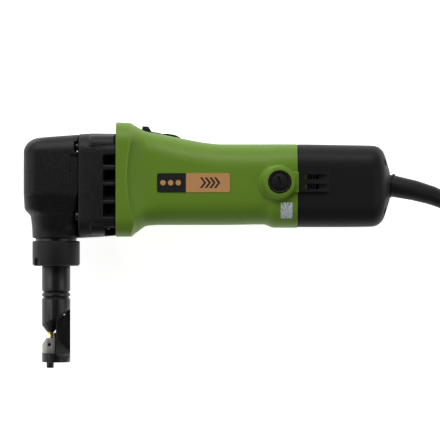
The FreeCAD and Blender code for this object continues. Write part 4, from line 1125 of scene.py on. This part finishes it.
# a near-black disc down in the die's pin hole: painted shade for the dark inside the hole, in the carbon
# finish
pinShade = turnedPiece("pinShade", "z", (tubeX - 4.9, -124.25, 0),
                       [(3, 0), (3, 1.36), (7.4, 1.36), (7.4, 0)], 32)
settle(pinShade, "die", finishes["carbon"])
smoothByAngle(dieShape.data, 35)
settle(dieShape, "die", finishes["bright_steel"])
settle(finishedNode("die_screw", 0.4), "die_screw", finishes["dark_steel"])
punchShape = finishedNode("punch", 0.12)
cutAway(punchShape, prismPiece("tip",
                               [(-126, -115.2), (-121.6, -116.6), (-116, -115.8), (-116, -130),
                                (-126, -130)], -5, 5, "xy"))
addOn(punchShape, turnedPiece("neck", "y", (-120.35, 0, 0),
                              [(-124, 0), (-124, 1.42), (-113, 1.42), (-113, 0)], 40))
smoothByAngle(punchShape.data, 35)
settle(punchShape, "punch", finishes["gold_coating"])
print("cutting end")

# head and case screws, each set of four a grid
def screwPiece(radius, headLong, shank, shankRadius, recess):
    # a pan head with a hexagon recess, its seat at the origin, head towards the front
    piece = turnedPiece("screw", "x", (0, 0, 0),
                        filleted([(-headLong, 0, 0), (-headLong, radius, 0.5), (0, radius, 0),
                                                           (0, shankRadius, 0), (shank, shankRadius, 0.3),
                                                           (shank, 0, 0)]), 40)
    hexagon = [(recess * math.cos(k * math.pi / 3), recess * math.sin(k * math.pi / 3)) for k in range(6)]
    cutAway(piece, prismPiece("recess", hexagon, -headLong - 1, -headLong + 1.3, "yz"))
    smoothByAngle(piece.data, 32)
    return atOrigin(piece)


def screwGrid(name, node, finish, piece, x, ys, wide):
    low, high = ys
    grid = spreadPieces(name, piece, finish, world(x, low, -wide) / mm, (2, (0, high - low, 0)),
                        (2, (0, 0, 2 * wide)))
    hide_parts(node)
    return follow(grid, node)


screwGrid("headScrews", "head_screws", finishes["dark_steel"], screwPiece(3.3, 2.3, 9.0, 1.9, 1.5), -98.8,
          (-24.8, 28.5), 23.0)
screwGrid("caseScrews", "case_screws", finishes["dark_steel"], screwPiece(3.3, 2.4, 13.6, 1.9, 1.5), -74.5,
          (-32.0, 30.0), 23.5)
print("screws")

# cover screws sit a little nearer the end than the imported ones
for k, (y, z, at) in enumerate(((-21, 16, cover["wellLow"]), (17, 19, cover["wellHigh"]))):
    heads = spreadPieces("coverScrews" + "AB"[k], atOrigin(turnedPiece("coverScrew", "x", (0, 0, 0), [
        (-68, 0), (-68, 1.85), (0, 1.85), (0, 3.1), (1.6, 3.1), (2.1, 2.6), (2.1, 1.3), (1.0, 1.3),
        (1.0, 0)], 40)),
        finishes["dark_steel"], world(at, y, -z) / mm, (2, (0, 0, 2 * z)))
    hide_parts("rear_cover_screws")
    follow(heads, "rear_cover_screws")

# switch knob, its edges broken
settle(finishedNode("switch_knob", 0.3), "switch_knob", finishes["black_cover"])

# cable tie round the coil, the plug and its pins
settle(finishedNode("cord_tie", 0.3), "cord_tie", finishes["rubber_black"])
settle(finishedNode("plug_pins", 0.5), "plug_pins", finishes["plated"])
plug = {"x": 341.0, "y": 9.0, "z": 8.6,
        "rows": [(0, 5.2, 5.2), (12, 6.4, 6.2), (20, 12.0, 7.6), (26, 17.6, 8.5),
        (43.2, 17.6, 8.5), (44, 16.8, 7.7)]}


def plugBody():
    rings = []
    for at, wide, tall in monotone(plug["rows"], 1.5):
        rings.append([Vector((plug["x"] + wide * math.cos(k * math.pi / 24), plug["y"] + at,
                              plug["z"] + tall * math.sin(k * math.pi / 24))) * mm for k in range(48)])
    body = loftRings("plugBody", rings)
    way = turnedPiece("way", "y", (plug["x"], -motorAxis.y, plug["z"] - motorAxis.z),
                      [(plug["y"] - 2, 0), (plug["y"] - 2, 3.8),
                                                                       (plug["y"] + 6, 3.8),
                                                                           (plug["y"] + 6, 0)], 32)
    cutAway(body, way)
    smoothByAngle(body.data, 38)
    return standFor(body, "plug_body", finishes["rubber_black"])


plugPiece = plugBody()
print("plug")


# plain bench, soft boxes
studio = {"floorColour": (0.86, 0.86, 0.86), "floorGlow": 0.85, "lowSky": 0.18, "highSky": 0.012}
floorMesh = bpy.data.meshes.new("bench")
floorMesh.from_pydata([(x, y, -0.0002) for x, y in ((-4, -4), (4, -4), (4, 4), (-4, 4))], [], [(0, 1, 2, 3)])
bench = addObject("bench", floorMesh)
benchFinish = bpy.data.materials.new("benchWhite")
benchFinish.use_nodes = True
benchShader = benchFinish.node_tree.nodes["Principled BSDF"]
benchShader.inputs["Base Color"].default_value = (*studio["floorColour"], 1)
benchShader.inputs["Roughness"].default_value = 0.9
benchShader.inputs["Emission Color"].default_value = (1, 1, 1, 1)
benchShader.inputs["Emission Strength"].default_value = studio["floorGlow"]
bench.data.materials.append(benchFinish)

# the surroundings are brightest low down and dark overhead
surround = bpy.data.worlds.new("surround")
surround.use_nodes = True
sky = surround.node_tree
parts = sky.nodes.new("ShaderNodeSeparateXYZ")
sky.links.new(sky.nodes.new("ShaderNodeTexCoord").outputs["Generated"], parts.inputs["Vector"])
fade = sky.nodes.new("ShaderNodeMapRange")
for socket, value in (("From Min", 0.0), ("From Max", 0.8), ("To Min", studio["lowSky"]),
                      ("To Max", studio["highSky"])):
    fade.inputs[socket].default_value = value
sky.links.new(parts.outputs["Z"], fade.inputs["Value"])
sky.nodes["Background"].inputs["Color"].default_value = (1, 1, 1, 1)
sky.links.new(fade.outputs["Result"], sky.nodes["Background"].inputs["Strength"])
bpy.context.scene.world = surround


def softBox(name, place, size, power):
    light = bpy.data.lights.new(name, "AREA")
    light.shape = "RECTANGLE"
    light.size, light.size_y = size
    light.energy = power
    obj = bpy.data.objects.new(name, light)
    obj.location = place
    obj.rotation_mode = "QUATERNION"
    obj.rotation_quaternion = (Vector(place) - Vector((0, 0, 0.03))).to_track_quat("Z", "Y")
    bpy.context.scene.collection.objects.link(obj)


softBox("keyBox", (-0.08, 0.72, 0.62), (1.1, 0.5), 6.6)
softBox("frontBox", (-1.1, 0.05, 0.72), (0.36, 1.1), 3.2)
softBox("backBox", (0.95, -0.05, 0.9), (0.3, 1.1), 2.2)
softBox("lowBox", (0.1, -1.2, 0.6), (1.5, 0.4), 0.6)
bpy.context.scene.view_settings.view_transform = "Standard"
print("studio")
